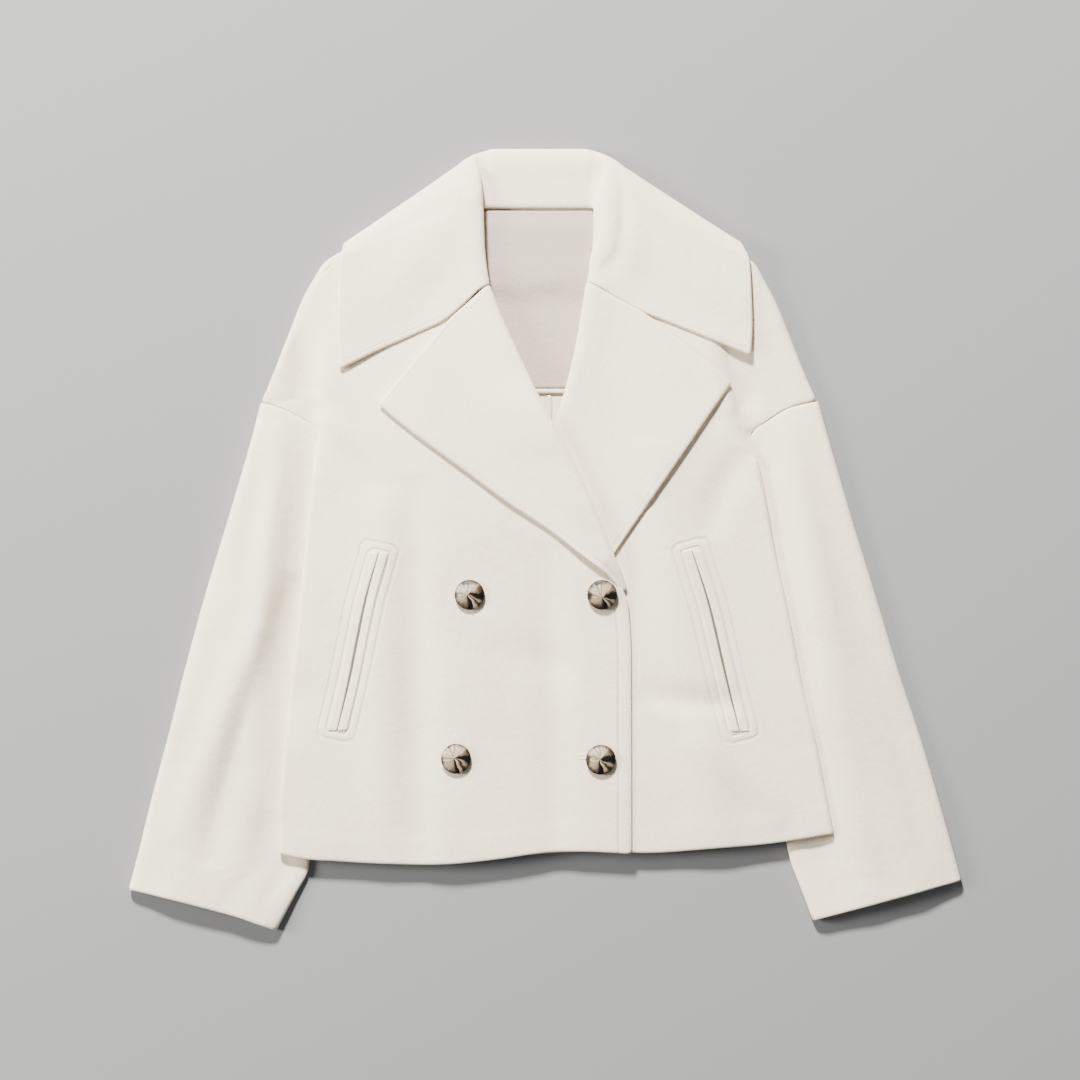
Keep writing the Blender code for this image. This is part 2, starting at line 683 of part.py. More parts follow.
def lapel_grid(side, steps):
    """Rows of a lapel, from its roll to its outer edge, then rows that lie flat where the other front covers it."""
    rows = LAPEL[side].smooth(steps).named()
    rolls = [np.array((row["roll_x"], row["roll_y"])) for row in rows]
    edges = [np.array((row["edge_x"], row["edge_y"])) for row in rows]
    grid = []
    for i, (roll, edge, inward) in enumerate(zip(rolls, edges, inward_normals(rolls, edges))):
        near_break = ramp(roll[1], 150.0, 106.0) if side == LEFT else 0.0
        radius = mix(ROLL_RADIUS, TUCKED_ROLL_RADIUS, near_break)
        start = roll + inward * (radius + ROLL_LEAD)
        level = front_height(side, *start) + LAY_GAP
        crest = np.array((*roll, level + radius))
        across = np.array((*inward, 0.0))
        points = [(*start, level), *arc_points(crest, -across * radius, np.array((0.0, 0.0, radius)))]
        base = points[-1][:2]
        share_of_first = max(0.0, 1.0 - i / steps)
        length = np.linalg.norm(edge - base)
        for share in LAPEL_ACROSS:
            plan = mix(base, edge, share)
            if share_of_first > 0:
                notch = np.array(NOTCH[side])
                if share <= NOTCH_SHARE:
                    bent = mix(base, notch, share / NOTCH_SHARE)
                else:
                    bent = mix(notch, edge, (share - NOTCH_SHARE) / (1 - NOTCH_SHARE))
                plan = mix(plan, bent, share_of_first)
            height = front_height(side, *plan) + LAY_ON_FRONT + spring(share * length, radius)
            height += EDGE_LIFT * ramp(share, 0.7, 1.0)
            points.append((*plan, height))
        grid.append(points)
    if side == LEFT:
        for row in COVERED_LAPEL.smooth(steps).named():
            start, edge = (np.array((row[f"{name}_x"], row[f"{name}_y"])) for name in ("start", "edge"))
            step = unit(edge - start) * 1.6
            base = start + step * 5
            plan = [start + step * i for i in range(6)] + [mix(base, edge, share) for share in LAPEL_ACROSS]
            grid.append([(x, y, front_height(side, x, y) + LAY_ON_FRONT) for x, y in plan])
    return np.array(grid)


def arc_points(crest, bulge, rise):
    """Five points round the roll, from the stand to the fall: its crest, and its two half axes as vectors."""
    return [crest + bulge * (math.cos(angle) - 1) + rise * math.sin(angle) for angle in CURL_ANGLES]


def roll_state(side, row, opened):
    """The neck point, the crest of the roll and its half axes where the collar lies on the shoulder."""
    neck = np.array((row["neck_x"], row["neck_y"]))
    roll = np.array((row["roll_x"], row["roll_y"]))
    away = unit(np.array((row["edge_x"], row["edge_y"])) - roll)
    level = front_height(side, *neck) + LAY_GAP
    towards_neck = unit(np.array((-SIGN[side], 0.25)))
    shut = (
        np.array((*neck, level)),
        np.array((*roll, level + ROLL_RADIUS)),
        np.array((*towards_neck, 0.0)) * ROLL_RADIUS,
        np.array((0.0, 0.0, 1.0)) * ROLL_RADIUS,
    )
    open_crest = level + 2 * ROLL_RADIUS + 0.4
    leaning = (
        np.array((*neck, level + (WOOL + TWO_PLY) / 2)),
        np.array((*roll, open_crest)),
        np.array((0.0, 0.0, OPEN_DROP)),
        np.array((*away, 0.0)) * OPEN_REACH,
    )
    return [mix(a, b, opened) for a, b in zip(shut, leaning)]


def collar_section(neck, crest, bulge, rise, fall):
    points = arc_points(crest, bulge, rise)
    return np.array([neck, mix(neck, points[0], 0.5), *points, *fall])


def collar_top_section(side, row):
    """A section of the collar on the shoulder: the stand, the roll and the fall."""
    neck, crest, bulge, rise = roll_state(side, row, float(np.clip(row["open"], 0, 1)))
    edge = np.array((row["edge_x"], row["edge_y"]))
    base = (crest - bulge + rise)[:2]
    length = np.linalg.norm(edge - base)
    fall = []
    for share, bend in zip(COLLAR_FALL, COLLAR_BEND):
        plan = mix(base, edge, share) + np.array((0.0, row["bend"] * bend))
        height = front_height(side, *plan) + LAY_ON_FRONT + spring(share * length, ROLL_RADIUS)
        height += EDGE_LIFT * ramp(share, 0.6, 1.0)
        fall.append((*plan, height))
    return collar_section(neck, crest, bulge, rise, fall)


def collar_back_section(neck, roll, edge):
    """A section behind the neck: the stand rises to the roll, and the fall lies beneath the back."""
    radius = (STAND_CREST - COLLAR_UNDER) / 2
    crest = np.array((*roll, COLLAR_UNDER + radius))
    bulge, rise = np.array((0.0, radius, 0.0)), np.array((0.0, 0.0, -radius))
    base = (crest - bulge + rise)[:2]
    fall = [(*mix(base, edge, share), COLLAR_UNDER) for share in COLLAR_FALL]
    return collar_section(np.array((*neck, STAND_SEAM)), crest, bulge, rise, fall)


def collar_turn_sections(side):
    """Sections that carry the collar round the shoulder line, from the coat's top to its underside."""
    rows = COLLAR_TURN[side].named()
    far, near = (np.array(COLLAR_FOLD[side][name]) for name in ("far", "near"))
    first = {**rows[0], "edge_x": far[0], "edge_y": far[1]}
    top = roll_state(side, first, 1.0 if side == LEFT else 0.0)
    radius = (STAND_CREST - COLLAR_UNDER) / 2
    tangent = unit(near - far)
    outward = np.array((-tangent[1], tangent[0]))
    outward = outward if outward[1] > 0 else -outward
    middle_radius = (ROLL_RADIUS + radius) / 2
    beside = (np.array((*tangent, 0.0)) * middle_radius, np.array((*outward, 0.0)) * middle_radius)
    under = (np.array((0.0, radius, 0.0)), np.array((0.0, 0.0, -radius)))
    crest_levels = (top[1][2], COLLAR_UNDER + radius)
    neck_levels = (top[0][2], STAND_SEAM)
    fold_radius = (front_height(side, *far) + LAY_ON_FRONT - COLLAR_UNDER) / 2
    sections = []
    for row in rows:
        angle = math.radians(row["turn"])
        lowered = (1 - math.cos(angle)) / 2
        if row["turn"] <= 90:
            bulge, rise = (mix(a, b, row["turn"] / 90) for a, b in zip(top[2:], beside))
        else:
            bulge, rise = (mix(a, b, row["turn"] / 90 - 1) for a, b in zip(beside, under))
        neck = np.array((row["neck_x"], row["neck_y"], mix(*neck_levels, lowered)))
        crest = np.array((row["roll_x"], row["roll_y"], mix(*crest_levels, lowered)))
        base = crest - bulge + rise
        end = far - outward * fold_radius * (1 - math.sin(angle))
        level = COLLAR_UNDER + fold_radius * (1 + math.cos(angle))
        fall = []
        for share in COLLAR_FALL:
            height = mix(base[2], level, ramp(share, 0.0, 0.4))
            fall.append((*mix(base[:2], end, share), height))
        sections.append(collar_section(neck, crest, bulge, rise, fall))
    return sections


def collar_grid(steps):
    sections = {}
    for side in (RIGHT, LEFT):
        sections[side] = [collar_top_section(side, row) for row in COLLAR_TOP[side].smooth(steps).named()]
        sections[side] += collar_turn_sections(side)
    back = []
    for row in COLLAR_BACK.named():
        neck = np.array((row["neck_x"], NECK_BACK_Y))
        roll = np.array((row["roll_x"], ROLL_BACK_Y))
        edge = np.array((row["edge_x"], COLLAR_UNDER_EDGE.at("x", row["edge_x"], "y")))
        back.append(collar_back_section(neck, roll, edge))
    return np.array([*sections[RIGHT], *back, *sections[LEFT][::-1]])


# Pieces that lie on a panel, made from its heights


def strip_grid(lines, height):
    """A sheet between lines of plan points, at the height that the function gives."""
    return np.array([[(x, y, height(x, y)) for x, y in line] for line in lines])


def on_row(row, x):
    """The point of a row of the back where x is this."""
    row = row[np.argsort(row[:, 0])]
    return np.array((x, np.interp(x, row[:, 0], row[:, 1]), np.interp(x, row[:, 0], row[:, 2])))


def facing_grid(back_rows):
    """The facing lies on the back's own rows, one facing's gap above them."""
    lift = (WOOL + FACING) / 2 + BUTT_GAP
    lines = []
    for right_row, left_row in zip(*back_rows):
        line = []
        for share in FACING_ACROSS:
            side = RIGHT if share < 0 else LEFT
            row = right_row if share < 0 else left_row
            x = mix(CENTRE_BACK, FACING_EDGE.at("y", row[-1, 1], side), abs(share))
            line.append(on_row(row, x))
        lines.append(line)
    low = [(x, FACING_LOW, z) for x, y, z in lines[0]]
    return np.array([low, *lines]) + (0.0, 0.0, lift)


def band_grid():
    lift = (WOOL + BAND) / 2 + BUTT_GAP
    right, left = (FACING_EDGE.at("y", BAND_EDGES[1], side) for side in (RIGHT, LEFT))
    lines = [[(mix(right, left, share), y) for share in np.linspace(0, 1, 6)] for y in BAND_EDGES]
    return strip_grid(lines, lambda x, y: back_height(x, y) + lift)


def tape_grid():
    lift = (WOOL + TAPE) / 2 + SEAM_GAP
    edges = (CENTRE_BACK - TAPE_WIDTH / 2, CENTRE_BACK + TAPE_WIDTH / 2)
    lines = [[(x, y) for x in edges] for y in np.linspace(*TAPE_ENDS, 9)]
    return strip_grid(lines, lambda x, y: back_height(x, y) + lift)


def lip_grid(side, outer):
    lift = (WOOL + LIP) / 2 + BUTT_GAP
    slit = POCKET[side].smooth(3)
    points = np.column_stack([slit.column("x"), slit.column("y")])
    away = SIGN[side] * (1 if outer else -1)
    lines = []
    for x, y in points:
        near, far = (x + away * distance for distance in (SEAM_GAP, SEAM_GAP + LIP_WIDTH))
        lines.append([(near, y), ((near + far) / 2, y), (far, y)])
    return strip_grid(lines, lambda x, y: front_height(side, x, y) + lift)


# Making the meshes


def finish(obj, collection, finish_name):
    obj.data.materials.append(material(finish_name))
    obj.data.shade_smooth()
    obj.data.set_sharp_from_angle(angle=math.radians(50))
    collection.objects.link(obj)
    return obj


def material(name):
    found = bpy.data.materials.get(name)
    if found:
        return found
    colour, roughness, metallic = FINISHES[name]
    made = bpy.data.materials.new(name)
    made.use_nodes = True
    shader = made.node_tree.nodes["Principled BSDF"]
    shader.inputs["Base Color"].default_value = (*colour, 1.0)
    shader.inputs["Roughness"].default_value = roughness
    shader.inputs["Metallic"].default_value = metallic
    made.diffuse_color = (*colour, 1.0)
    return made


def cloth(collection, name, grid, thickness, finish_name="wool_melton", tube=False):
    """A sheet whose grid of points lies in the middle of its thickness."""
    rows, columns = grid.shape[:2]
    bm = bmesh.new()
    bmesh.ops.create_grid(bm, x_segments=columns - 1, y_segments=rows - 1, size=1.0)
    for vert in bm.verts:
        row = round((vert.co.y + 1) / 2 * (rows - 1))
        column = round((vert.co.x + 1) / 2 * (columns - 1))
        vert.co = grid[row, column] * MM
    if tube:
        bmesh.ops.remove_doubles(bm, verts=bm.verts, dist=0.01 * MM)
    mesh = bpy.data.meshes.new(name)
    bm.to_mesh(mesh)
    bm.free()
    obj = finish(bpy.data.objects.new(name, mesh), collection, finish_name)
    wall = obj.modifiers.new("wall", "SOLIDIFY")
    wall.thickness = thickness * MM
    wall.offset = 0.0
    wall.use_even_offset = True
    wall.use_quality_normals = True
    return obj


def button(collection, name, x, y):
    """A domed button on its moulded shank, a turned profile seated square to the cloth."""
    bm = bmesh.new()
    rows = [(row["radius"], 0.0, row["height"]) for row in BUTTON_PROFILE.named()]
    verts = [bm.verts.new(np.array(row) * MM) for row in rows]
    for a, b in zip(verts, verts[1:]):
        bm.edges.new((a, b))
    mesh = bpy.data.meshes.new(name)
    bm.to_mesh(mesh)
    bm.free()
    obj = finish(bpy.data.objects.new(name, mesh), collection, "mottled_horn")
    turned = obj.modifiers.new("turned", "SCREW")
    turned.steps = turned.render_steps = BUTTON_SIDES
    turned.use_merge_vertices = True
    turned.merge_threshold = 0.00001
    reach = 3.0
    slope_x = (front_height(RIGHT, x + reach, y) - front_height(RIGHT, x - reach, y)) / (2 * reach)
    slope_y = (front_height(RIGHT, x, y + reach) - front_height(RIGHT, x, y - reach)) / (2 * reach)
    obj.rotation_euler = (math.atan(slope_y), -math.atan(slope_x), 0.0)
    obj.location = np.array((x, y, front_height(RIGHT, x, y) + WOOL / 2 + LAY_GAP)) * MM
    return obj


def main():
    for obj in list(bpy.data.objects):
        bpy.data.objects.remove(obj)
    coat = bpy.data.collections.new("wool_coat")
    bpy.context.scene.collection.children.link(coat)
    backs = {side: back_grid(side, 1) for side in (RIGHT, LEFT)}
    for side in (RIGHT, LEFT):
        cloth(coat, f"back_{side}", backs[side], WOOL)
        cloth(coat, f"front_{side}", front_grid(side, 1), WOOL)
        cloth(coat, f"sleeve_{side}", sleeve_grid(side, 2), WOOL, tube=True)
        cloth(coat, f"lapel_{side}", lapel_grid(side, 2), TWO_PLY)
        for place, outer in (("outer", True), ("inner", False)):
            cloth(coat, f"pocket_lip_{side}_{place}", lip_grid(side, outer), LIP)
    cloth(coat, "collar", collar_grid(2), TWO_PLY)
    cloth(coat, "back_facing", facing_grid([backs[side][FACING_FIRST_ROW:] for side in (RIGHT, LEFT)]), FACING, "facing_twill")
    cloth(coat, "facing_hem_band", band_grid(), BAND, "cotton_tape")
    cloth(coat, "centre_back_tape", tape_grid(), TAPE, "cotton_tape")
    for number, row in enumerate(BUTTONS.named(), 1):
        button(coat, f"button_{number}", row["x"], row["y"])


main()
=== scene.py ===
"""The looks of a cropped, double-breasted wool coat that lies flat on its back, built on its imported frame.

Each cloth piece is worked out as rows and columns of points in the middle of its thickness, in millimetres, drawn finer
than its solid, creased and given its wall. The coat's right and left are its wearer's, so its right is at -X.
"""

import json
import math

import bmesh
import bpy
import numpy as np
from bpy.props import FloatProperty, IntProperty, PointerProperty, StringProperty
from mathutils import Matrix, Vector

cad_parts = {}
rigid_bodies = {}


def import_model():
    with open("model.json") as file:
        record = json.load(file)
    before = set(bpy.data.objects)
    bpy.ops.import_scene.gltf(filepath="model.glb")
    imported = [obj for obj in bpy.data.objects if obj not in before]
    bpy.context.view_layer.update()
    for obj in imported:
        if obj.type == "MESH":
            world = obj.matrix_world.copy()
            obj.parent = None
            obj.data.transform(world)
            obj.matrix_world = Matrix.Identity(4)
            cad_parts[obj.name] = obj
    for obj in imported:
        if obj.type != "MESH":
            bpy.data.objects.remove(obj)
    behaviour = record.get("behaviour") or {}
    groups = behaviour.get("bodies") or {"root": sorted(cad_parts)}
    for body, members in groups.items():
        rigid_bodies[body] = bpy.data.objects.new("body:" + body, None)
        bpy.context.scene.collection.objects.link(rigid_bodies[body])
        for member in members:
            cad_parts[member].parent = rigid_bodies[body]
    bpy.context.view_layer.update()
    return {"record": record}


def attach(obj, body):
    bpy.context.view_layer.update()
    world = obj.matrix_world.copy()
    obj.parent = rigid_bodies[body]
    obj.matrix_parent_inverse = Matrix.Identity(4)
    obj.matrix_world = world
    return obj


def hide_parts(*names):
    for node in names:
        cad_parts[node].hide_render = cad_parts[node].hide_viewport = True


bl_info = {
    "name": "Winter jacket",
    "version": (1, 0, 0),
    "blender": (4, 5, 0),
    "location": "View3D > Sidebar > Jacket",
    "description": "Builds the cloth, buttons and stage of a wool coat laid flat",
    "category": "Object",
}

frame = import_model()


MM = 0.001

# Cloth
WOOL = 2.2
TWO_PLY = 3.0
FACING = 1.5
BAND = 2.0
TAPE = 0.8
LIP = 1.6
SEAM_GAP = 0.3
BUTT_GAP = 0.8
LAY_GAP = 0.4

# Levels of the middle of each layer, above the surface
GROUND = WOOL / 2
COLLAR_UNDER = TWO_PLY / 2
BACK_ON_COLLAR = TWO_PLY + LAY_GAP + WOOL / 2
BACK_ON_SLEEVE = 7.4
STAND_SEAM = 7.4
STAND_CREST = 9.5

# How the layers of the fronts lie
OVERLAP_RISE = 2.8
LAY_ON_FRONT = (WOOL + TWO_PLY) / 2 + 0.8
ROLL_RADIUS = 3.0
ROLL_LEAD = 2.0
SPRING_REACH = 45.0
EDGE_LIFT = 1.6
SLEEVE_EDGE_RADIUS = 3.7

CENTRE_BACK = 3.7
RIGHT, LEFT = "right", "left"
SIGN = {RIGHT: -1.0, LEFT: 1.0}


class Table:
    """Rows of numbers under named columns."""

    def __init__(self, columns, *rows):
        self.columns = columns.split()
        self.rows = np.array(rows, float)

    def column(self, name):
        return self.rows[:, self.columns.index(name)]

    def at(self, key, value, name):
        """The named column where the key column has this value, on a smooth curve that keeps between its rows."""
        x, y = self.column(key), self.column(name)
        value = np.clip(value, x[0], x[-1])
        widths = np.diff(x)
        slopes = np.diff(y) / widths
        same_way = slopes[:-1] * slopes[1:] > 0
        total = np.where(same_way, slopes[:-1] + slopes[1:], 1.0)
        inner = np.where(same_way, 2 * slopes[:-1] * slopes[1:] / total, 0.0)
        tangents = np.concatenate([slopes[:1], inner, slopes[-1:]])
        i = np.clip(np.searchsorted(x, value, side="right") - 1, 0, len(x) - 2)
        t = (value - x[i]) / widths[i]
        return (
            y[i] * (2 * t**3 - 3 * t**2 + 1)
            + tangents[i] * widths[i] * (t**3 - 2 * t**2 + t)
            + y[i + 1] * (3 * t**2 - 2 * t**3)
            + tangents[i + 1] * widths[i] * (t**3 - t**2)
        )

    def smooth(self, steps):
        """The rows with others between them on smooth curves, which turn sharply at a row whose corner is 1."""
        rows = self.rows
        corner = self.column("corner") > 0.5
        ahead = np.vstack([rows[1:] - rows[:-1], rows[-1:] - rows[-2:-1]])
        behind = np.vstack([rows[1:2] - rows[:1], rows[1:] - rows[:-1]])
        middle = (ahead + behind) / 2
        leaving = np.where(corner[:, None], ahead, middle)
        arriving = np.where(corner[:, None], behind, middle)
        found = []
        for i in range(len(rows) - 1):
            for t in np.arange(steps) / steps:
                found.append(
                    rows[i] * (2 * t**3 - 3 * t**2 + 1)
                    + leaving[i] * (t**3 - 2 * t**2 + t)
                    + rows[i + 1] * (3 * t**2 - 2 * t**3)
                    + arriving[i + 1] * (t**3 - t**2)
                )
        found.append(rows[-1])
        return Table(" ".join(self.columns), *found)

    def named(self):
        """Each row as a dictionary."""
        return [dict(zip(self.columns, row)) for row in self.rows]


# The body's side edges below the armholes, and the folds that carry them on above, at each height y
SIDE = Table(
    "y right left",
    (-290, -243.0, 265.0),
    (-270, -243.0, 261.3),
    (-247, -243.0, 257.6),
    (-185, -238.3, 247.5),
    (-135, -233.0, 235.5),
    (-55, -224.0, 219.9),
    (-18, -220.6, 211.6),
    (66, -212.0, 196.0),
    (80, -210.5, 192.3),
    (98, -208.8, 187.5),
    (113, -206.0, 182.2),
    (123, -204.5, 179.0),
    (138, -208.0, 174.8),
    (151, -210.0, 172.0),
    (178, -209.5, 167.4),
    (217, -208.0, 160.0),
    (260, -196.0, 150.0),
)

# The front edges, and the line that each lapel rolls on above them
OPENING = Table(
    "y right left",
    (-290, 80.0, -98.0),
    (-100, 79.5, -98.0),
    (-66, 77.3, -95.0),
    (-43, 74.0, -88.0),
    (-24, 65.3, -78.0),
    (13, 51.5, -55.0),
    (39, 40.5, -38.0),
    (73, 24.8, -14.0),
    (103, 8.3, 8.3),
    (124, -2.8, 15.0),
    (150, -15.6, 22.5),
    (178, -28.5, 29.0),
    (207, -41.4, 34.0),
    (233, -51.5, 38.5),
    (252, -54.5, 37.5),
    (271, -56.2, 38.5),
    (300, -57.3, 40.3),
)

# How far the front's inner edge has turned into the roll: 0 at a plain edge, 1 behind a roll
TURNED = Table(
    "y right left",
    (-58, 0.0, 0.0),
    (-48, 0.3, 0.0),
    (-38, 0.9, 0.0),
    (-26, 1.35, 0.0),
    (-8, 1.35, 0.0),
    (8, 1.0, 0.0),
    (60, 1.0, 0.0),
    (95, 1.0, 1.0),
    (205, 1.0, 1.0),
    (225, 1.12, 1.05),
)

# The hem's height across the coat
HEM = Table(
    "x y",
    (-243, -288.0),
    (-221, -292.6),
    (-106, -298.0),
    (-41, -292.6),
    (23, -285.2),
    (80, -288.0),
    (124, -285.2),
    (222, -276.9),
    (261, -269.6),
)
HEM_LEVEL = -285.0
HEM_FADE = -170.0

# Rows of the body, below the armholes
BODY_LEVELS = (-285, -240, -190, -135, -80, -38, -10, 26, 56, 77)

# Rows from the underarm along the armhole to its tip, and up the shoulder to the neck. Curl is 1 where the front turns
# under to meet the back, and 0 where it meets the sleeve.
SHOULDER = {
    RIGHT: Table(
        "edge_x edge_y inner_y curl corner",
        (-211.5, 104.0, 104, 0, 1),
        (-231.8, 116.8, 121, 0, 0),
        (-246.0, 122.6, 136, 0, 0),
        (-260.4, 126.5, 150, 0.5, 1),
        (-247.5, 156.4, 170, 1, 0),
        (-234.6, 189.5, 189, 1, 0),
        (-221.7, 222.6, 204, 1, 0),
        (-203.0, 254.0, 216, 1, 1),
        (-188.0, 263.5, 223, 1, 0),
        (-165.0, 268.5, 236, 1, 0),
        (-120.0, 285.0, 260, 1, 0),
        (-77.0, 299.5, 288, 1, 1),
    ),
    LEFT: Table(
        "edge_x edge_y inner_y curl corner",
        (190.5, 100.0, 104, 0, 1),
        (205.0, 110.5, 121, 0, 0),
        (222.6, 121.4, 136, 0, 0),
        (250.2, 127.5, 150, 0.5, 1),
        (240.1, 147.2, 170, 1, 0),
        (225.4, 184.0, 189, 1, 0),
        (210.7, 219.9, 204, 1, 0),
        (193.0, 252.0, 216, 1, 1),
        (185.5, 257.5, 222, 1, 0),
        (155.0, 268.0, 236, 1, 0),
        (110.0, 284.5, 260, 1, 0),
        (67.0, 299.5, 288, 1, 1),
    ),
}
ARMHOLE_ROWS = 4
UNDERARM = {RIGHT: (-196.0, 81.0), LEFT: (174.8, 64.4)}
LAST_BODY_ROW = {RIGHT: 92.0, LEFT: 88.0}
UNROLLED = (104.0, 76.0)

# Heights of the middle of the front's cloth: on the chest, in the valley outside the fold, and on the shoulder
LEVEL = Table(
    "y chest valley shoulder",
    (-290, 12.0, 6.2, 8.5),
    (50, 12.2, 6.2, 8.5),
    (98, 13.0, 7.0, 8.5),
    (150, 12.4, 8.2, 9.0),
    (217, 11.0, 10.5, 10.5),
    (260, 10.8, 10.8, 10.8),
    (300, 10.2, 10.2, 10.2),
)
SWELL = Table("y rise", (-290, -1.0), (-200, 0.5), (-60, 1.5), (60, 3.0), (150, 1.5), (230, 0.0))
SWELL_REACH = (0.02, 0.20)
SHOULDER_REACH = 34.0
FOLD_WIDTH = {RIGHT: 7.0, LEFT: 4.0}
OVERLAP_START = (-150.0, -102.0)

# How far the right front is lifted along its roll by the left lapel beneath it
LAPEL_LIFT = Table("y rise", (-75, 0.0), (-28, 3.9), (70, 3.9), (95, 5.4), (112, 5.4), (160, 1.5), (230, 0.0))
LAPEL_LIFT_REACH = (70.0, 18.0)

# Sleeve rings from the armhole to the cuff: the outer fold, the inner fold, how far the ring bows with the armhole seam,
# and the height of the upper wall at its crown, beside the body and tucked beneath the body
SLEEVE = {
    RIGHT: Table(
        "outer_x outer_y inner_x inner_y bow crown valley tucked corner",
        (-260.4, 126.6, -196.0, 81.6, 1.0, 8.5, 6.2, 4.4, 1),
        (-269.6, 90.2, -197.0, 50.0, 0.4, 10.5, 5.6, 4.4, 0),
        (-288.9, 23.9, -199.0, -15.0, 0.0, 14.0, 4.7, 4.4, 0),
        (-309.1, -42.3, -202.0, -78.0, 0.0, 15.5, 4.7, 4.4, 0),
        (-327.5, -108.6, -206.0, -142.0, 0.0, 15.5, 4.7, 4.4, 0),
        (-344.1, -174.8, -210.0, -207.0, 0.0, 15.0, 4.7, 4.4, 0),
        (-361.6, -241.0, -215.0, -262.0, 0.0, 14.0, 4.5, 4.3, 0),
        (-372.0, -284.0, -218.0, -303.0, 0.0, 13.5, 4.5, 4.3, 1),
        (-381.8, -321.1, -247.5, -358.8, 0.25, 13.5, 11.0, 9.5, 1),
    ),
    LEFT: Table(
        "outer_x outer_y inner_x inner_y bow crown valley tucked corner",
        (250.2, 127.5, 174.8, 65.0, 1.0, 8.5, 6.2, 4.4, 1),
        (261.5, 88.0, 178.5, 40.0, 0.4, 10.5, 5.6, 4.4, 0),
        (283.4, 12.9, 187.0, -15.0, 0.0, 14.0, 4.7, 4.4, 0),
        (304.5, -55.2, 196.0, -80.0, 0.0, 15.5, 4.7, 4.4, 0),
        (323.8, -118.7, 205.0, -142.0, 0.0, 15.5, 4.7, 4.4, 0),
        (345.9, -186.8, 213.0, -207.0, 0.0, 15.0, 4.7, 4.4, 0),
        (363.4, -246.6, 219.5, -262.0, 0.0, 14.0, 4.5, 4.3, 0),
        (373.5, -282.0, 227.0, -297.0, 0.0, 13.5, 4.5, 4.3, 1),
        (381.8, -312.8, 246.6, -349.6, 0.0, 13.5, 11.0, 9.5, 1),
    ),
}
CROWN_REACH = 38.0
TUCK_REACH = 10.0
OUTER_REACH = 48.0
SLEEVE_CURL_POINTS = 5
SLEEVE_TOP_POINTS = 7
SLEEVE_BOTTOM_POINTS = 3

# The back's outline where it dips round the underarm, with the height of each row at the centre back
UNDERARM_NOTCH = {
    RIGHT: Table(
        "edge_x edge_y inner_y",
        (-200.0, 50.0, 48),
        (-190.0, 62.0, 62),
        (-188.0, 74.0, 76),
        (-195.3, 82.0, 88),
    ),
    LEFT: Table(
        "edge_x edge_y inner_y",
        (179.5, 32.0, 32),
        (169.0, 46.0, 46),
        (167.0, 58.0, 62),
        (174.2, 65.6, 78),
    ),
}
BACK_BODY_LEVELS = {
    RIGHT: (-285, -240, -190, -135, -80, -30, 10, 36),
    LEFT: (-285, -240, -190, -135, -80, -30, 0, 18),
}
SLEEVE_RAMP = (2.0, 19.0)
NOTCH_RISE = {RIGHT: (80.0, 56.0), LEFT: (62.0, 38.0)}
NECK_SEAM_Y = 302.8
NECK_SEAM_X = {RIGHT: -66.0, LEFT: 56.0}
COLLAR_RAMP = (32.0, 12.0)
COLLAR_SIDE_RAMP = (205.0, 190.0)

# Lower edge of the collar where it lies beneath the back
COLLAR_UNDER_EDGE = Table(
    "x y",
    (-190, 266.0),
    (-128, 256.0),
    (-68, 251.0),
    (-6, 249.0),
    (58, 251.0),
    (122, 256.0),
    (182, 266.0),
)

# Collar sections that lie on a shoulder, from the gorge seam up to the shoulder line: the neck seam, the roll, the outer
# edge and how far the section bends down at the notch. Open is 1 where the stand leans open and the roll is a soft crest.
COLLAR_TOP = {
    RIGHT: Table(
        "neck_x neck_y roll_x roll_y edge_x edge_y bend open corner",
        (-56.4, 231.8, -51.5, 233.0, -188.6, 155.5, -9.6, 0, 1),
        (-59.4, 250.8, -54.5, 252.0, -189.8, 190.0, -4.0, 0, 0),
        (-61.1, 270.3, -56.2, 271.5, -189.6, 222.0, 0.0, 0, 0),
        (-62.0, 287.0, -57.0, 296.0, -188.6, 248.0, 0.0, 0, 0),
        (-62.3, 291.5, -57.5, 307.0, -187.8, 260.0, 0.0, 0, 1),
    ),
    LEFT: Table(
        "neck_x neck_y roll_x roll_y edge_x edge_y bend open corner",
        (43.4, 234.8, 38.5, 236.0, 188.6, 168.4, -4.5, 0, 1),
        (41.5, 252.0, 47.0, 254.0, 190.2, 196.0, -3.0, 0.7, 0),
        (43.8, 268.0, 57.0, 272.0, 189.5, 222.0, 0.0, 1, 0),
        (44.3, 284.0, 60.0, 297.0, 188.5, 246.0, 0.0, 1, 0),
        (44.5, 289.5, 60.0, 308.0, 187.3, 259.0, 0.0, 1, 1),
    ),
}
# Sections round the shoulder line, where the collar turns from the top of the coat to its underside. Turn is in degrees.
COLLAR_TURN = {
    RIGHT: Table(
        "turn neck_x neck_y roll_x roll_y",
        (0, -62.4, 294.5, -58.0, 318.0),
        (45, -62.2, 299.5, -60.5, 336.0),
        (90, -60.0, 303.0, -64.0, 349.0),
        (135, -56.0, 303.9, -57.0, 355.0),
        (180, -50.0, 304.0, -49.5, 357.8),
    ),
    LEFT: Table(
        "turn neck_x neck_y roll_x roll_y",
        (0, 44.6, 294.0, 60.0, 319.0),
        (45, 45.2, 299.5, 59.0, 336.0),
        (90, 45.0, 303.0, 53.5, 349.0),
        (135, 43.0, 303.9, 47.5, 355.0),
        (180, 38.0, 304.0, 40.0, 357.8),
    ),
}
TURN_ANGLES = range(0, 181, 15)
# The line that the fall folds on over the shoulder, which is the coat's outline there
COLLAR_FOLD = {
    RIGHT: {"near": (-68.0, 348.0), "far": (-185.0, 270.5)},
    LEFT: {"near": (54.0, 348.0), "far": (180.5, 271.0)},
}
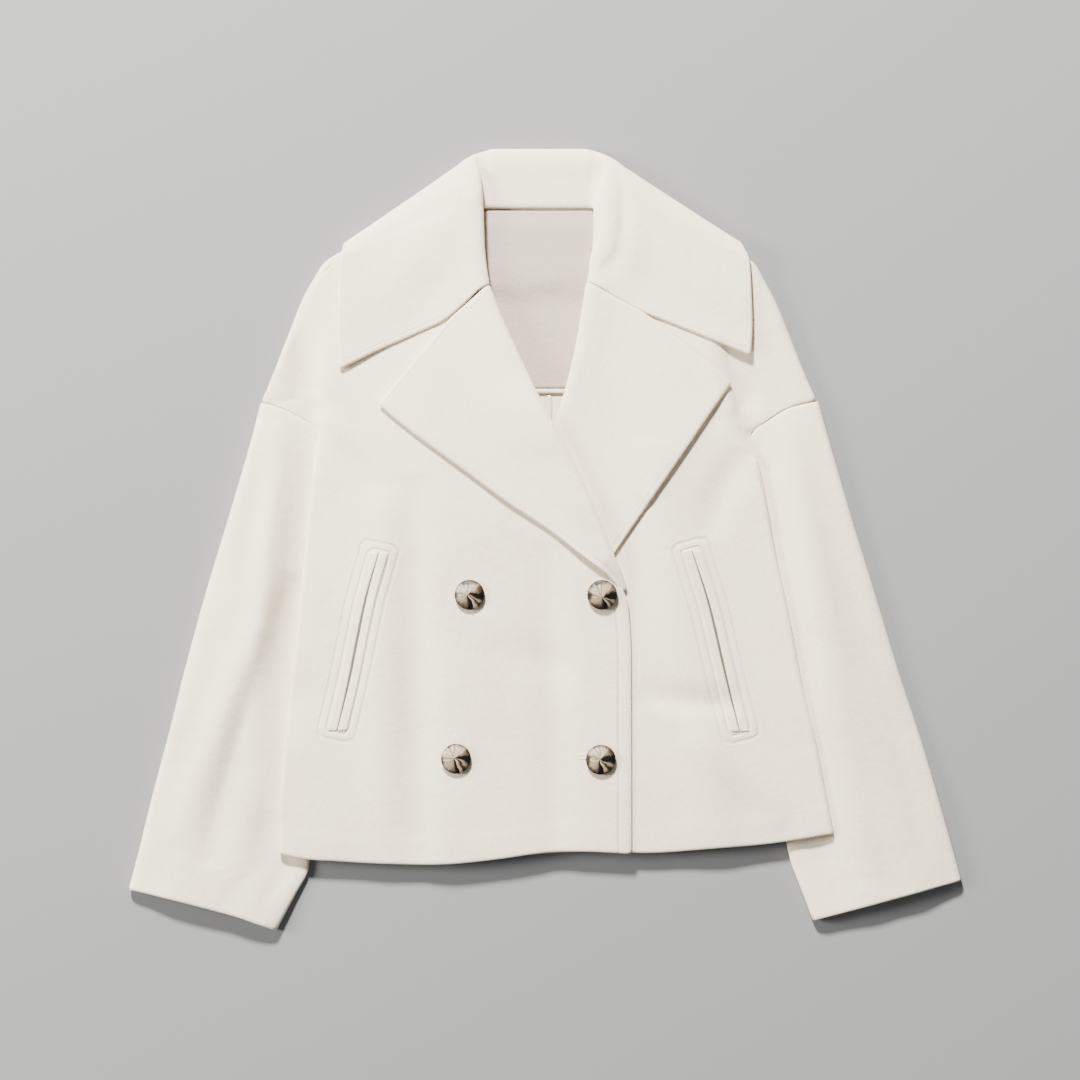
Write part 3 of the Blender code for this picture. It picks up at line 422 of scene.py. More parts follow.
# Sections across the back of the neck
COLLAR_BACK = Table(
    "neck_x roll_x edge_x",
    (-38, -38, -126),
    (-22, -22, -66),
    (-6, -6, -6),
    (12, 12, 56),
    (28, 29, 120),
)
NECK_BACK_Y = 304.0
ROLL_BACK_Y = 358.2
COLLAR_FALL = (0.13, 0.27, 0.50, 0.76, 1.0)
COLLAR_BEND = (0.45, 1.0, 0.72, 0.25, 0.0)
OPEN_REACH = 8.0
OPEN_DROP = 1.8

# Lapel rows from the gorge to the break: the roll line and the outer edge. The first row bends at the notch.
LAPEL = {
    RIGHT: Table(
        "roll_x roll_y edge_x edge_y corner",
        (-51.5, 233.2, -153.6, 124.2, 1),
        (-40.0, 203.5, -130.5, 105.0, 0),
        (-22.5, 165.0, -103.0, 84.5, 0),
        (-2.8, 124.0, -70.0, 60.5, 0),
        (18.5, 85.0, -35.0, 34.5, 0),
        (37.5, 46.0, 4.5, 8.5, 0),
        (53.0, 9.5, 33.0, -13.5, 0),
        (61.6, -12.9, 50.5, -26.5, 0),
        (67.5, -25.5, 58.5, -33.2, 0),
        (71.2, -36.0, 64.2, -40.5, 0),
        (73.8, -46.0, 69.0, -47.4, 1),
    ),
    LEFT: Table(
        "roll_x roll_y edge_x edge_y corner",
        (38.5, 236.2, 172.0, 144.4, 1),
        (34.0, 207.0, 153.0, 118.0, 0),
        (28.3, 175.0, 133.0, 88.5, 0),
        (20.2, 141.0, 114.0, 61.0, 0),
        (9.5, 107.0, 97.0, 36.5, 1),
    ),
}
# Rows of the left lapel's part that the right front covers
COVERED_LAPEL = Table(
    "start_x start_y edge_x edge_y corner",
    (7.0, 97.0, 93.5, 31.0, 1),
    (24.0, 46.0, 76.0, 6.0, 0),
    (43.0, 3.0, 61.5, -15.0, 1),
)
NOTCH = {RIGHT: (-86.5, 203.4), LEFT: (91.1, 208.2)}
NOTCH_SHARE = 0.36
TIP_SUNK = 3.4
TIP_SUNK_FROM = (-14.0, -46.0)
LAPEL_ACROSS = (0.08, 0.2, 0.36, 0.6, 0.82, 1.0)
TUCKED_ROLL_RADIUS = 2.1
FULL_ROLL_WIDTH = 18.0

# Back neck facing and the tapes sewn inside the back
FACING_EDGE = Table(
    "y right left",
    (139.4, -64.0, 66.0),
    (200, -74.0, 70.0),
    (260, -72.0, 62.0),
    (302.8, -63.0, 44.0),
)
FACING_LOW = 139.4
FACING_ACROSS = (-1.0, -0.66, -0.33, 0.0, 0.33, 0.66, 1.0)
FACING_FIRST_ROW = -9
SEAM_SUNK = 1.6
SEAM_SUNK_FROM = (286.0, 300.0)
BAND_EDGES = (134.4, 139.0)
TAPE_WIDTH = 6.0
TAPE_ENDS = (-262.0, 134.0)

# Pocket slits and the width of each lip
POCKET = {
    RIGHT: Table("x y corner", (-151.8, -11.0, 1), (-164.7, -57.0, 0), (-179.4, -128.8, 0), (-190.4, -174.8, 1)),
    LEFT: Table("x y corner", (134.3, -9.2, 1), (150.5, -60.0, 0), (166.5, -128.0, 0), (178.5, -175.7, 1)),
}
LIP_WIDTH = 8.5

# Buttons, turned from the foot of the shank up to the middle of the dome
BUTTONS = Table("x y", (-69.0, -50.1), (52.4, -49.7), (-81.4, -200.1), (51.1, -201.0))
SHANK_RADIUS = 4.0
BUTTON_RADIUS = 14.0
BUTTON_PROFILE = Table(
    "radius height",
    (4.0, -0.4),
    (3.6, 1.6),
    (9.6, 1.9),
    (13.0, 2.2),
    (14.0, 3.0),
    (13.8, 3.7),
    (12.8, 4.5),
    (9.6, 6.1),
    (5.4, 7.2),
    (1.8, 7.6),
)

# Where the colours of a button change round its face, in turns from its left side, and where its rim has dark spots
HORN_TONES = {"cream": "#B5AA95", "tan": "#756A58", "brown": "#33241A", "dark": "#0E0906"}
HORN_TURNS = (0.0, 0.03, 0.19, 0.235, 0.29, 0.325, 0.345, 0.375, 0.41, 0.432, 0.46, 0.545, 0.585, 0.65, 0.95, 1.0)
HORN_TURN_TONES = "tan cream tan dark dark cream cream brown brown cream dark dark tan cream cream tan"
RIM_SPOT_TURNS = (0.0, 0.02, 0.05, 0.72, 0.75, 0.81, 0.84, 0.96, 0.985)
RIM_SPOT_TONES = "dark dark cream cream dark dark cream cream dark"
WHITE = (1.0, 1.0, 1.0, 1.0)

# The ends of the buttonholes that show beside the buttons of the front edge
BUTTONHOLES = Table("x y", (29.5, -47.8), (29.5, -198.7))
BUTTONHOLE_LENGTH = 32.0
BUTTONHOLE_WIDTH = 3.4
BUTTONHOLE_THREAD = 1.3
THREAD_SEAT = -0.5

# Stitching: how far each line is in from its edge, and the frame sewn round each pocket
EDGE_STITCH = 12.0
COLLAR_STITCH = 4.6
COLLAR_STITCH_SPREAD = 1.3
OUTER_FRAME = {"half_width": 17.5, "corner": 5.0, "overrun": 8.5}
INNER_FRAME = {"half_width": 10.3, "corner": 1.5, "overrun": 1.8}
FAR_FROM_STITCHES = 50.0
STITCH_LENGTH = 3.4
STITCH_GAP = 0.14
THREAD_HALF_WIDTH = 0.7
THREAD_RISE = 0.22
GROOVE_HALF_WIDTH = 2.4
PRESSED_HALF_WIDTH = 1.8
GROOVE_DEPTH = 0.6
# Painted shade: how far the cloth's colour is darkened along sunk stitch grooves and pressed lines
GROOVE_SHADE = (0.95, 0.945, 0.94, 1.0)
NAP_RELIEF = 0.22
CLOUD_WIDTH = 70

# Soft folds: each runs between two points, bowed to one side. Rise is in the middle of the fold, and a lean over 1
# spreads it more to the left of its direction than to the right.
CHEST_CREASES = Table(
    "x0 y0 x1 y1 bow rise width lean",
    (-121.0, 60.0, -112.0, -306.0, 0.0, -5.6, 16.0, 0.8),
    (-152.0, 50.0, -146.0, -306.0, 0.0, 4.2, 19.0, 1.0),
    (84.0, -138.0, 184.0, -150.0, -5.0, -3.6, 11.0, 1.2),
    (88.0, 92.0, 164.0, -312.0, 4.0, 6.4, 26.0, 1.0),
    (-60.0, -100.0, 30.0, -124.0, 4.0, -2.2, 16.0, 1.0),
    (-2.0, 0.0, 10.0, -306.0, 4.0, -4.2, 16.0, 1.0),
    (136.0, -176.0, 220.0, -262.0, 8.0, 3.0, 18.0, 1.0),
    (-230.0, -150.0, -180.0, -290.0, -6.0, 2.6, 18.0, 1.0),
    (-205.0, 96.0, -150.0, 30.0, 6.0, -2.2, 13.0, 1.0),
    (-227.0, 238.0, -212.0, 60.0, 0.0, -4.6, 9.0, 1.0),
    (-246.0, 240.0, -240.0, 128.0, 0.0, 3.2, 11.0, 1.0),
    (184.0, 84.0, 150.0, 0.0, -6.0, -3.4, 14.0, 1.0),
    (158.0, 182.0, 197.0, 74.0, 0.0, -5.0, 7.5, 1.0),
)
COLLAR_CREASES = Table(
    "x0 y0 x1 y1 bow rise width lean",
    (-66.0, 330.0, -190.0, 200.0, 10.0, 2.0, 24.0, 1.0),
    (64.0, 330.0, 190.0, 205.0, -10.0, 2.0, 24.0, 1.0),
    (-75.0, 262.0, -160.0, 160.0, 4.0, -1.6, 18.0, 1.0),
    (72.0, 268.0, 160.0, 178.0, -4.0, -1.5, 16.0, 1.0),
)
SLEEVE_CREASES = {
    RIGHT: Table(
        "x0 y0 x1 y1 bow rise width lean",
        (-230.0, -30.0, -312.0, -300.0, -4.0, -6.6, 16.0, 1.35),
        (-262.0, -70.0, -344.0, -280.0, 0.0, 3.4, 14.0, 1.0),
        (-258.0, 112.0, -296.0, -90.0, -6.0, 4.2, 16.0, 1.0),
        (-244.0, 124.0, -268.0, -200.0, 0.0, 4.6, 13.0, 1.0),
        (-300.0, -40.0, -352.0, -210.0, 6.0, 2.0, 13.0, 1.0),
        (-262.0, -250.0, -300.0, -352.0, 6.0, -1.6, 12.0, 1.0),
    ),
    LEFT: Table(
        "x0 y0 x1 y1 bow rise width lean",
        (196.0, 104.0, 270.0, -292.0, 0.0, -3.4, 9.0, 1.0),
        (214.0, 112.0, 286.0, -310.0, 0.0, 6.2, 21.0, 1.0),
        (288.0, 60.0, 356.0, -240.0, 0.0, -2.4, 12.0, 1.0),
        (262.0, -170.0, 326.0, -336.0, 0.0, -2.2, 13.0, 1.0),
        (330.0, -180.0, 366.0, -310.0, 4.0, 1.5, 12.0, 1.0),
    ),
}
SHOULDER_SEAM = {
    RIGHT: ((-191.4, 257.6), (-210.7, 236.4), (-221.7, 212.5), (-232.5, 186.0)),
    LEFT: ((184.0, 238.0), (199.6, 203.3), (217.0, 166.0), (236.0, 127.0)),
}
UNDERARM_FOLD = {RIGHT: (-203.0, 113.0), LEFT: (184.0, 99.0)}
UNDERARM_REACH = 26.0
HEM_DEPTH = 25.0
HEM_MARK_START = (225.0, 200.0)
HEM_MARK_TOP = -215.0
HEM_RISE = 0.4
POCKET_RISE = 0.8
LIP_SUNK = 1.3
# The lips' gap, and a dark strip beneath it that paints the shade inside each pocket's opening
MOUTH_LEVEL = 0.05
MOUTH_HALF_WIDTH = 1.1
MOUTH_END_HALF_WIDTH = 0.2
MOUTH_ACROSS = (-1.5, 0.0, 1.5)
SHADE_STRIP_THICKNESS = 0.4

# The stage: each light's power, size, place and the point it is aimed at, in metres
LIGHTS = (
    ("key_light", "key_power", 0.5, (-0.8, 3.0, 2.2), (0.0, 0.0, 0.0)),
    ("side_light", "side_power", 1.2, (-3.1, 0.3, 1.6), (0.0, 0.0, 0.0)),
)
VIEW_CENTRE = (-0.0046, 0.0)


# Soft steps and outlines


def ramp(value, start, end):
    """0 at start and beyond, 1 at end and beyond, and a soft step between them."""
    t = np.clip((value - start) / (end - start), 0.0, 1.0)
    return t * t * (3 - 2 * t)


def mix(a, b, t):
    return a + (b - a) * t


def unit(vector):
    return vector / np.linalg.norm(vector)


def side_x(side, y):
    return SIDE.at("y", y, side)


def opening_x(side, y):
    return OPENING.at("y", y, side)


def with_hem(x, y):
    """The height y, moved with the hem's curve near the hem."""
    return y + (HEM.at("x", x, "y") - HEM_LEVEL) * ramp(y, HEM_FADE, HEM_LEVEL)


# Heights of the layers


def chest_height(x, y):
    """The middle of the left front's cloth, from side to side."""
    right, left = side_x(RIGHT, y), side_x(LEFT, y)
    across = (x - right) / (left - right)
    inside = ramp(np.minimum(across, 1 - across), *SWELL_REACH)
    return LEVEL.at("y", y, "chest") + inside * SWELL.at("y", y, "rise")


def right_front_rise(x, y):
    """How far the right front lies above the left one's surface, or would if that went on beneath it."""
    from_roll = opening_x(RIGHT, y) - x
    lifted = LAPEL_LIFT.at("y", y, "rise") * ramp(from_roll, *LAPEL_LIFT_REACH)
    return OVERLAP_RISE * ramp(x, *OVERLAP_START) + lifted


def front_height(side, x, y):
    return chest_height(x, y) + (right_front_rise(x, y) if side == RIGHT else 0.0)


def shoulder_height(y, outside):
    """The front's cloth outside the fold, at this distance from it."""
    valley = LEVEL.at("y", y, "valley")
    return mix(valley, LEVEL.at("y", y, "shoulder"), ramp(outside, 0.0, SHOULDER_REACH))


def sleeve_inner_x(side, y):
    table = SLEEVE[side]
    return np.interp(-y, -table.column("inner_y"), table.column("inner_x"))


def back_height(x, y):
    """The middle of the back's cloth: on the ground, on the collar behind the neck, and on the sleeves at the sides."""
    collar = (BACK_ON_COLLAR - GROUND) * ramp(COLLAR_UNDER_EDGE.at("x", x, "y") - y, *COLLAR_RAMP)
    collar *= ramp(abs(x), *COLLAR_SIDE_RAMP)
    side = RIGHT if x < 0 else LEFT
    inside = (sleeve_inner_x(side, y) - x) * SIGN[side]
    sleeve = (BACK_ON_SLEEVE - GROUND) * ramp(inside, SLEEVE_RAMP[1], SLEEVE_RAMP[0])
    sleeve *= ramp(y, *NOTCH_RISE[side])
    return GROUND + max(collar, sleeve)


# Rows and the normals of their ends


def inward_normals(points, inner):
    """At each point of a line, the unit vector across it towards the inner point of the same row."""
    found = []
    for i, (point, other) in enumerate(zip(points, inner)):
        before = points[max(i - 1, 0)]
        after = points[min(i + 1, len(points) - 1)]
        along = unit(after - before)
        across = np.array([-along[1], along[0]])
        found.append(across if np.dot(across, other - point) > 0 else -across)
    return found


def front_rows(side, steps):
    """The rows of one front from hem to neck: its outer and inner end, its curl, and whether it is above the armhole."""
    rows = []
    levels = [*BODY_LEVELS, LAST_BODY_ROW[side]]
    for low, high in zip(levels, levels[1:]):
        for t in np.arange(steps) / steps:
            rows.append((mix(low, high, t), None))
    rows.append((levels[-1], None))
    for row in SHOULDER[side].smooth(steps).named():
        rows.append((row["inner_y"], row))
    edges, inners, curls, above = [], [], [], []
    for inner_y, row in rows:
        if row is None:
            edges.append((side_x(side, inner_y), inner_y))
        else:
            edges.append((row["edge_x"], row["edge_y"]))
        inners.append((opening_x(side, inner_y), inner_y))
        curls.append(ramp(inner_y, *UNROLLED) if row is None else float(np.clip(row["curl"], 0, 1)))
        above.append(row is not None)
    edges = [np.array(p) for p in edges]
    inners = [np.array(p) for p in inners]
    return edges, inners, curls, above


def turned_back(side, inners, edges):
    """The inner ends moved back to where the front's cloth turns up into the roll."""
    distance = ROLL_RADIUS + ROLL_LEAD + BUTT_GAP
    moved = []
    for point, normal in zip(inners, inward_normals(inners, edges)):
        moved.append(point + normal * distance * TURNED.at("y", point[1], side))
    return moved


FLAT_OFFSETS = (0.0, 1.2, 2.4, 3.6, 4.8)
LEAST_REACH = 7.2
CURL_ANGLES = tuple(math.radians(a) for a in (-90, -45, 0, 45, 90))
ACROSS_CHEST = (0.13, 0.28, 0.44, 0.6, 0.75, 0.88, 1.0)


def front_bottom(side, edge, above):
    """Where the curl of the front's edge ends, level with the back's cloth."""
    if above:
        return back_height(*edge)
    return BACK_ON_SLEEVE + 1.4 * ramp(edge[1], 50.0, 95.0)


def front_grid(side, steps):
    """Each row runs from where its curl meets the back, round the edge, over the fold and on to the inner end."""
    edges, inners, curls, above = front_rows(side, steps)
    normals = inward_normals(edges, inners)
    inners = turned_back(side, inners, edges)
    grid = []
    for edge, inner, normal, curl, high in zip(edges, inners, normals, curls, above):
        along = unit(inner - edge)
        inward = unit(mix(along, normal, curl))
        if high:
            fold_x = side_x(side, mix(edge[1], inner[1], 0.2))
            reach = max((fold_x - edge[0]) / along[0], LEAST_REACH)
            top = shoulder_height(edge[1], reach)
            radius = (top - front_bottom(side, edge, high)) / 2
        else:
            top = chest_height(*edge)
            radius = (top - front_bottom(side, edge, high)) / 2
            reach = max(2 * radius, LEAST_REACH)
        fold = edge + along * reach
        rounded = [radius * (1 - math.cos(angle)) for angle in CURL_ANGLES]
        plan = [edge + inward * mix(flat, offset, curl) for flat, offset in zip(FLAT_OFFSETS, rounded)]
        plan += [mix(plan[-1], fold, 1 / 3), mix(plan[-1], fold, 2 / 3), fold]
        foot = fold + along * min(FOLD_WIDTH[side], 0.3 * np.linalg.norm(inner - fold))
        plan += [foot, *(mix(foot, inner, t) for t in ACROSS_CHEST)]
        row = []
        for column, (x, y) in enumerate(plan):
            if high and column < 8:
                z = shoulder_height(y, np.linalg.norm((x, y) - fold))
            else:
                z = front_height(side, x, y)
            if column < 4:
                z = mix(z, top - radius + radius * math.sin(CURL_ANGLES[column]), curl)
            row.append((x, with_hem(x, y), z))
        grid.append(row)
    return np.array(grid)


def back_grid(side, steps):
    """One half of the back, from the centre back seam to its outer edge."""
    rows = []
    for level in BACK_BODY_LEVELS[side]:
        y = with_hem(side_x(side, level), level)
        radius = (chest_height(side_x(side, y), y) - BACK_ON_SLEEVE) / 2
        rows.append((side_x(side, y) - SIGN[side] * (radius + BUTT_GAP), y, level))
    rows += [tuple(row) for row in UNDERARM_NOTCH[side].rows]
    shoulder = SHOULDER[side].smooth(steps).named()
    edges = [np.array((row["edge_x"], row["edge_y"])) for row in shoulder]
    centres = [np.array((0.0, row["inner_y"])) for row in shoulder]
    for row, edge, normal in zip(shoulder, edges, inward_normals(edges, centres)):
        fold_x = side_x(side, edge[1])
        top = shoulder_height(edge[1], abs(edge[0] - fold_x))
        radius = (top - back_height(*edge)) / 2
        x, y = edge + normal * (radius + BUTT_GAP) * np.clip(row["curl"], 0, 1)
        rows.append((x, y, row["inner_y"]))
    rows.append((NECK_SEAM_X[side], NECK_SEAM_Y, NECK_SEAM_Y))
    seam = CENTRE_BACK + SIGN[side] * SEAM_GAP / 2
    grid = []
    for x, y, centre_y in rows:
        width = abs(x - seam)
        tuck = abs(x - sleeve_inner_x(side, y)) if y < UNDERARM[side][1] - 20 else 0.0
        first = min(max(tuck - SLEEVE_RAMP[0], 6.0), 0.3 * width)
        reach = min(SLEEVE_RAMP[1] - SLEEVE_RAMP[0], 0.2 * width)
        shares = [0.0, first, first + reach / 2, first + reach]
        shares = [share / width for share in shares]
        shares += [mix(shares[-1], 1.0, t) for t in (0.25, 0.5, 0.75, 1.0)]
        row = []
        for share in shares:
            px, py = mix(x, seam, share), mix(y, centre_y, share)
            if y < HEM_FADE:
                py = with_hem(px, centre_y)
            row.append((px, py, back_height(px, py)))
        grid.append(row)
    return np.array(grid)


# Sleeves


def armhole_bow(side, share):
    """How far the armhole seam stands above the straight line from its tip to the underarm."""
    table = SHOULDER[side]
    seam = np.column_stack([table.column("edge_x"), table.column("edge_y")])[:ARMHOLE_ROWS]
    seam = np.vstack([UNDERARM[side], seam])
    tip, underarm = seam[-1], seam[0]
    x = mix(tip[0], underarm[0], share)
    order = np.argsort(seam[:, 0])
    return np.interp(x, seam[order, 0], seam[order, 1]) - mix(tip[1], underarm[1], share)


def sleeve_grid(side, steps):
    grid = []
    for ring in SLEEVE[side].smooth(steps).named():
        outer = np.array((ring["outer_x"], ring["outer_y"]))
        inner = np.array((ring["inner_x"], ring["inner_y"]))
        length = np.linalg.norm(inner - outer)
        along = (inner - outer) / length
        inner_radius = (ring["tucked"] - GROUND) / 2
        outer_top = GROUND + 2 * SLEEVE_EDGE_RADIUS

        def place(distance, height):
            share = distance / length
            x, y = outer + along * distance
            return x, y + ring["bow"] * armhole_bow(side, np.clip(share, 0, 1)), height

        def top(distance):
            x, y, _ = place(distance, 0.0)
            outside = (side_x(side, y) - x) * -SIGN[side]
            z = mix(ring["tucked"], ring["valley"], ramp(outside, -TUCK_REACH, 0.0))
            z = mix(z, ring["crown"], ramp(outside, 0.0, CROWN_REACH))
            return mix(outer_top, z, ramp(distance, SLEEVE_EDGE_RADIUS, OUTER_REACH))

        angles = np.linspace(math.pi / 2, -math.pi / 2, SLEEVE_CURL_POINTS)
        points = []
        for angle in angles:
            reach = SLEEVE_EDGE_RADIUS * (1 - math.cos(angle))
            points.append(place(reach, GROUND + SLEEVE_EDGE_RADIUS * (1 + math.sin(angle))))
        low, high = SLEEVE_EDGE_RADIUS, length - inner_radius
        for share in np.linspace(0, 1, SLEEVE_BOTTOM_POINTS + 2)[1:-1]:
            points.append(place(mix(low, high, share), GROUND))
        for angle in angles[::-1]:
            reach = length - inner_radius * (1 - math.cos(angle))
            points.append(place(reach, GROUND + inner_radius * (1 + math.sin(angle))))
        for share in np.linspace(1, 0, SLEEVE_TOP_POINTS + 2)[1:-1]:
            distance = mix(low, high, share)
            points.append(place(distance, top(distance)))
        points.append(points[0])
        grid.append(points)
    return np.array(grid)


# Collar and lapels


def spring(distance, radius):
    """How far a turned-over piece stands above where it would lie, at this distance from its roll."""
    return (2 * radius + LAY_GAP - LAY_ON_FRONT) * (1 - ramp(distance, 0.0, SPRING_REACH))


def lapel_grid(side, steps):
    """Rows of a lapel, from its roll to its outer edge, then rows that lie flat where the other front covers it."""
    rows = LAPEL[side].smooth(steps).named()
    rolls = [np.array((row["roll_x"], row["roll_y"])) for row in rows]
    edges = [np.array((row["edge_x"], row["edge_y"])) for row in rows]
    grid = []
    for i, (roll, edge, inward) in enumerate(zip(rolls, edges, inward_normals(rolls, edges))):
        near_break = ramp(roll[1], 150.0, 106.0) if side == LEFT else 0.0
        full = float(np.clip(np.linalg.norm(edge - roll) / FULL_ROLL_WIDTH, 0.12, 1.0))
        radius = mix(ROLL_RADIUS, TUCKED_ROLL_RADIUS, near_break) * full
        start = roll + inward * (radius + ROLL_LEAD * full)
        level = front_height(side, *start) + LAY_GAP
        crest = np.array((*roll, level + radius))
        across = np.array((*inward, 0.0))
        points = [(*start, level), *arc_points(crest, -across * radius, np.array((0.0, 0.0, radius)))]
        base = points[-1][:2]
        share_of_first = max(0.0, 1.0 - i / steps)
        length = np.linalg.norm(edge - base)
        for share in LAPEL_ACROSS:
            plan = mix(base, edge, share)
            if share_of_first > 0:
                notch = np.array(NOTCH[side])
                if share <= NOTCH_SHARE:
                    bent = mix(base, notch, share / NOTCH_SHARE)
                else:
                    bent = mix(notch, edge, (share - NOTCH_SHARE) / (1 - NOTCH_SHARE))
                plan = mix(plan, bent, share_of_first)
            lift = LAY_ON_FRONT + spring(share * length, radius / full) + EDGE_LIFT * ramp(share, 0.7, 1.0)
            points.append((*plan, front_height(side, *plan) + lift * full))
        grid.append(points)
    if side == LEFT:
        for row in COVERED_LAPEL.smooth(steps).named():
            start, edge = (np.array((row[f"{name}_x"], row[f"{name}_y"])) for name in ("start", "edge"))
            step = unit(edge - start) * 1.6
            base = start + step * 5
            plan = [start + step * i for i in range(6)] + [mix(base, edge, share) for share in LAPEL_ACROSS]
            grid.append([(x, y, front_height(side, x, y) + LAY_ON_FRONT) for x, y in plan])
    return np.array(grid)


def arc_points(crest, bulge, rise):
    """Five points round the roll, from the stand to the fall: its crest, and its two half axes as vectors."""
    return [crest + bulge * (math.cos(angle) - 1) + rise * math.sin(angle) for angle in CURL_ANGLES]


def roll_state(side, row, opened):
    """The neck point, the crest of the roll and its half axes where the collar lies on the shoulder."""
    neck = np.array((row["neck_x"], row["neck_y"]))
    roll = np.array((row["roll_x"], row["roll_y"]))
    away = unit(np.array((row["edge_x"], row["edge_y"])) - roll)
    level = front_height(side, *neck) + LAY_GAP
    towards_neck = unit(np.array((-SIGN[side], 0.25)))
    shut = (
        np.array((*neck, level)),
        np.array((*roll, level + ROLL_RADIUS)),
        np.array((*towards_neck, 0.0)) * ROLL_RADIUS,
        np.array((0.0, 0.0, 1.0)) * ROLL_RADIUS,
    )
    open_crest = level + 2 * ROLL_RADIUS + 0.4
    leaning = (
        np.array((*neck, level + (WOOL + TWO_PLY) / 2)),
        np.array((*roll, open_crest)),
        np.array((0.0, 0.0, OPEN_DROP)),
        np.array((*away, 0.0)) * OPEN_REACH,
    )
    return [mix(a, b, opened) for a, b in zip(shut, leaning)]


def collar_section(neck, crest, bulge, rise, fall):
    points = arc_points(crest, bulge, rise)
    return np.array([neck, mix(neck, points[0], 0.5), *points, *fall])


def collar_top_section(side, row):
    """A section of the collar on the shoulder: the stand, the roll and the fall."""
    neck, crest, bulge, rise = roll_state(side, row, float(np.clip(row["open"], 0, 1)))
    edge = np.array((row["edge_x"], row["edge_y"]))
    base = (crest - bulge + rise)[:2]
    length = np.linalg.norm(edge - base)
    fall = []
    for share, bend in zip(COLLAR_FALL, COLLAR_BEND):
        plan = mix(base, edge, share) + np.array((0.0, row["bend"] * bend))
        height = front_height(side, *plan) + LAY_ON_FRONT + spring(share * length, ROLL_RADIUS)
        height += EDGE_LIFT * ramp(share, 0.6, 1.0)
        fall.append((*plan, height))
    return collar_section(neck, crest, bulge, rise, fall)


def collar_back_section(neck, roll, edge):
    """A section behind the neck: the stand rises to the roll, and the fall lies beneath the back."""
    radius = (STAND_CREST - COLLAR_UNDER) / 2
    crest = np.array((*roll, COLLAR_UNDER + radius))
    bulge, rise = np.array((0.0, radius, 0.0)), np.array((0.0, 0.0, -radius))
    base = (crest - bulge + rise)[:2]
    fall = [(*mix(base, edge, share), COLLAR_UNDER) for share in COLLAR_FALL]
    return collar_section(np.array((*neck, STAND_SEAM)), crest, bulge, rise, fall)


def collar_turn_sections(side):
    """Sections that carry the collar round the shoulder line, from the coat's top to its underside."""
    table = COLLAR_TURN[side]
    rows = [{name: table.at("turn", turn, name) for name in table.columns} for turn in TURN_ANGLES]
    far, near = (np.array(COLLAR_FOLD[side][name]) for name in ("far", "near"))
    last_edge = COLLAR_TOP[side].rows[-1][4:6]
    first = {**rows[0], "edge_x": far[0], "edge_y": far[1]}
    top = roll_state(side, first, 1.0 if side == LEFT else 0.0)
    radius = (STAND_CREST - COLLAR_UNDER) / 2
    tangent = unit(near - far)
    outward = np.array((-tangent[1], tangent[0]))
    outward = outward if outward[1] > 0 else -outward
    middle_radius = (ROLL_RADIUS + radius) / 2
    beside = (np.array((*tangent, 0.0)) * middle_radius, np.array((*outward, 0.0)) * middle_radius)
    under = (np.array((0.0, radius, 0.0)), np.array((0.0, 0.0, -radius)))
    crest_levels = (top[1][2], COLLAR_UNDER + radius)
    neck_levels = (top[0][2], STAND_SEAM)
    fold_radius = (front_height(side, *far) + LAY_ON_FRONT - COLLAR_UNDER) / 2
    sections = []
    for row in rows:
        angle = math.radians(row["turn"])
        lowered = (1 - math.cos(angle)) / 2
        if row["turn"] <= 90:
            bulge, rise = (mix(a, b, row["turn"] / 90) for a, b in zip(top[2:], beside))
        else:
            bulge, rise = (mix(a, b, row["turn"] / 90 - 1) for a, b in zip(beside, under))
        neck = np.array((row["neck_x"], row["neck_y"], mix(*neck_levels, lowered)))
        crest = np.array((row["roll_x"], row["roll_y"], mix(*crest_levels, lowered)))
        base = crest - bulge + rise
        level = COLLAR_UNDER + fold_radius * (1 + math.cos(angle))
        fall = []
        for share in COLLAR_FALL:
            way = unit(mix(outward, unit(far - last_edge), ramp(share, 0.7, 1.0)))
            plan = mix(base[:2], far, share) - way * share * fold_radius * (1 - math.sin(angle))
            fall.append((*plan, mix(base[2], level, ramp(share, 0.0, 0.4))))
        sections.append(collar_section(neck, crest, bulge, rise, fall))
    return sections


def collar_grid(steps):
    sections = {}
    for side in (RIGHT, LEFT):
        sections[side] = [collar_top_section(side, row) for row in COLLAR_TOP[side].smooth(steps).named()]
        sections[side] += collar_turn_sections(side)
    back = []
    for row in COLLAR_BACK.named():
        neck = np.array((row["neck_x"], NECK_BACK_Y))
        roll = np.array((row["roll_x"], ROLL_BACK_Y))
        edge = np.array((row["edge_x"], COLLAR_UNDER_EDGE.at("x", row["edge_x"], "y")))
        back.append(collar_back_section(neck, roll, edge))
    return np.array([*sections[RIGHT], *back, *sections[LEFT][::-1]])


# Pieces that lie on a panel, made from its heights


def strip_grid(lines, height):
    """A sheet between lines of plan points, at the height that the function gives."""
    return np.array([[(x, y, height(x, y)) for x, y in line] for line in lines])


def on_row(row, x):
    """The point of a row of the back where x is this."""
    row = row[np.argsort(row[:, 0])]
    return np.array((x, np.interp(x, row[:, 0], row[:, 1]), np.interp(x, row[:, 0], row[:, 2])))


def facing_grid(back_rows):
    """The facing lies on the back's own rows, one facing's gap above them."""
    lift = (WOOL + FACING) / 2 + BUTT_GAP
    lines = []
    for right_row, left_row in zip(*back_rows):
        line = []
        for share in FACING_ACROSS:
            side = RIGHT if share < 0 else LEFT
            row = right_row if share < 0 else left_row
            x = mix(CENTRE_BACK, FACING_EDGE.at("y", row[-1, 1], side), abs(share))
            line.append(on_row(row, x))
        lines.append(line)
    low = [(x, FACING_LOW, z) for x, y, z in lines[0]]
    return np.array([low, *lines]) + (0.0, 0.0, lift)


def band_grid():
    lift = (WOOL + BAND) / 2 + BUTT_GAP
    right, left = (FACING_EDGE.at("y", BAND_EDGES[1], side) for side in (RIGHT, LEFT))
    lines = [[(mix(right, left, share), y) for share in np.linspace(0, 1, 6)] for y in BAND_EDGES]
    return strip_grid(lines, lambda x, y: back_height(x, y) + lift)


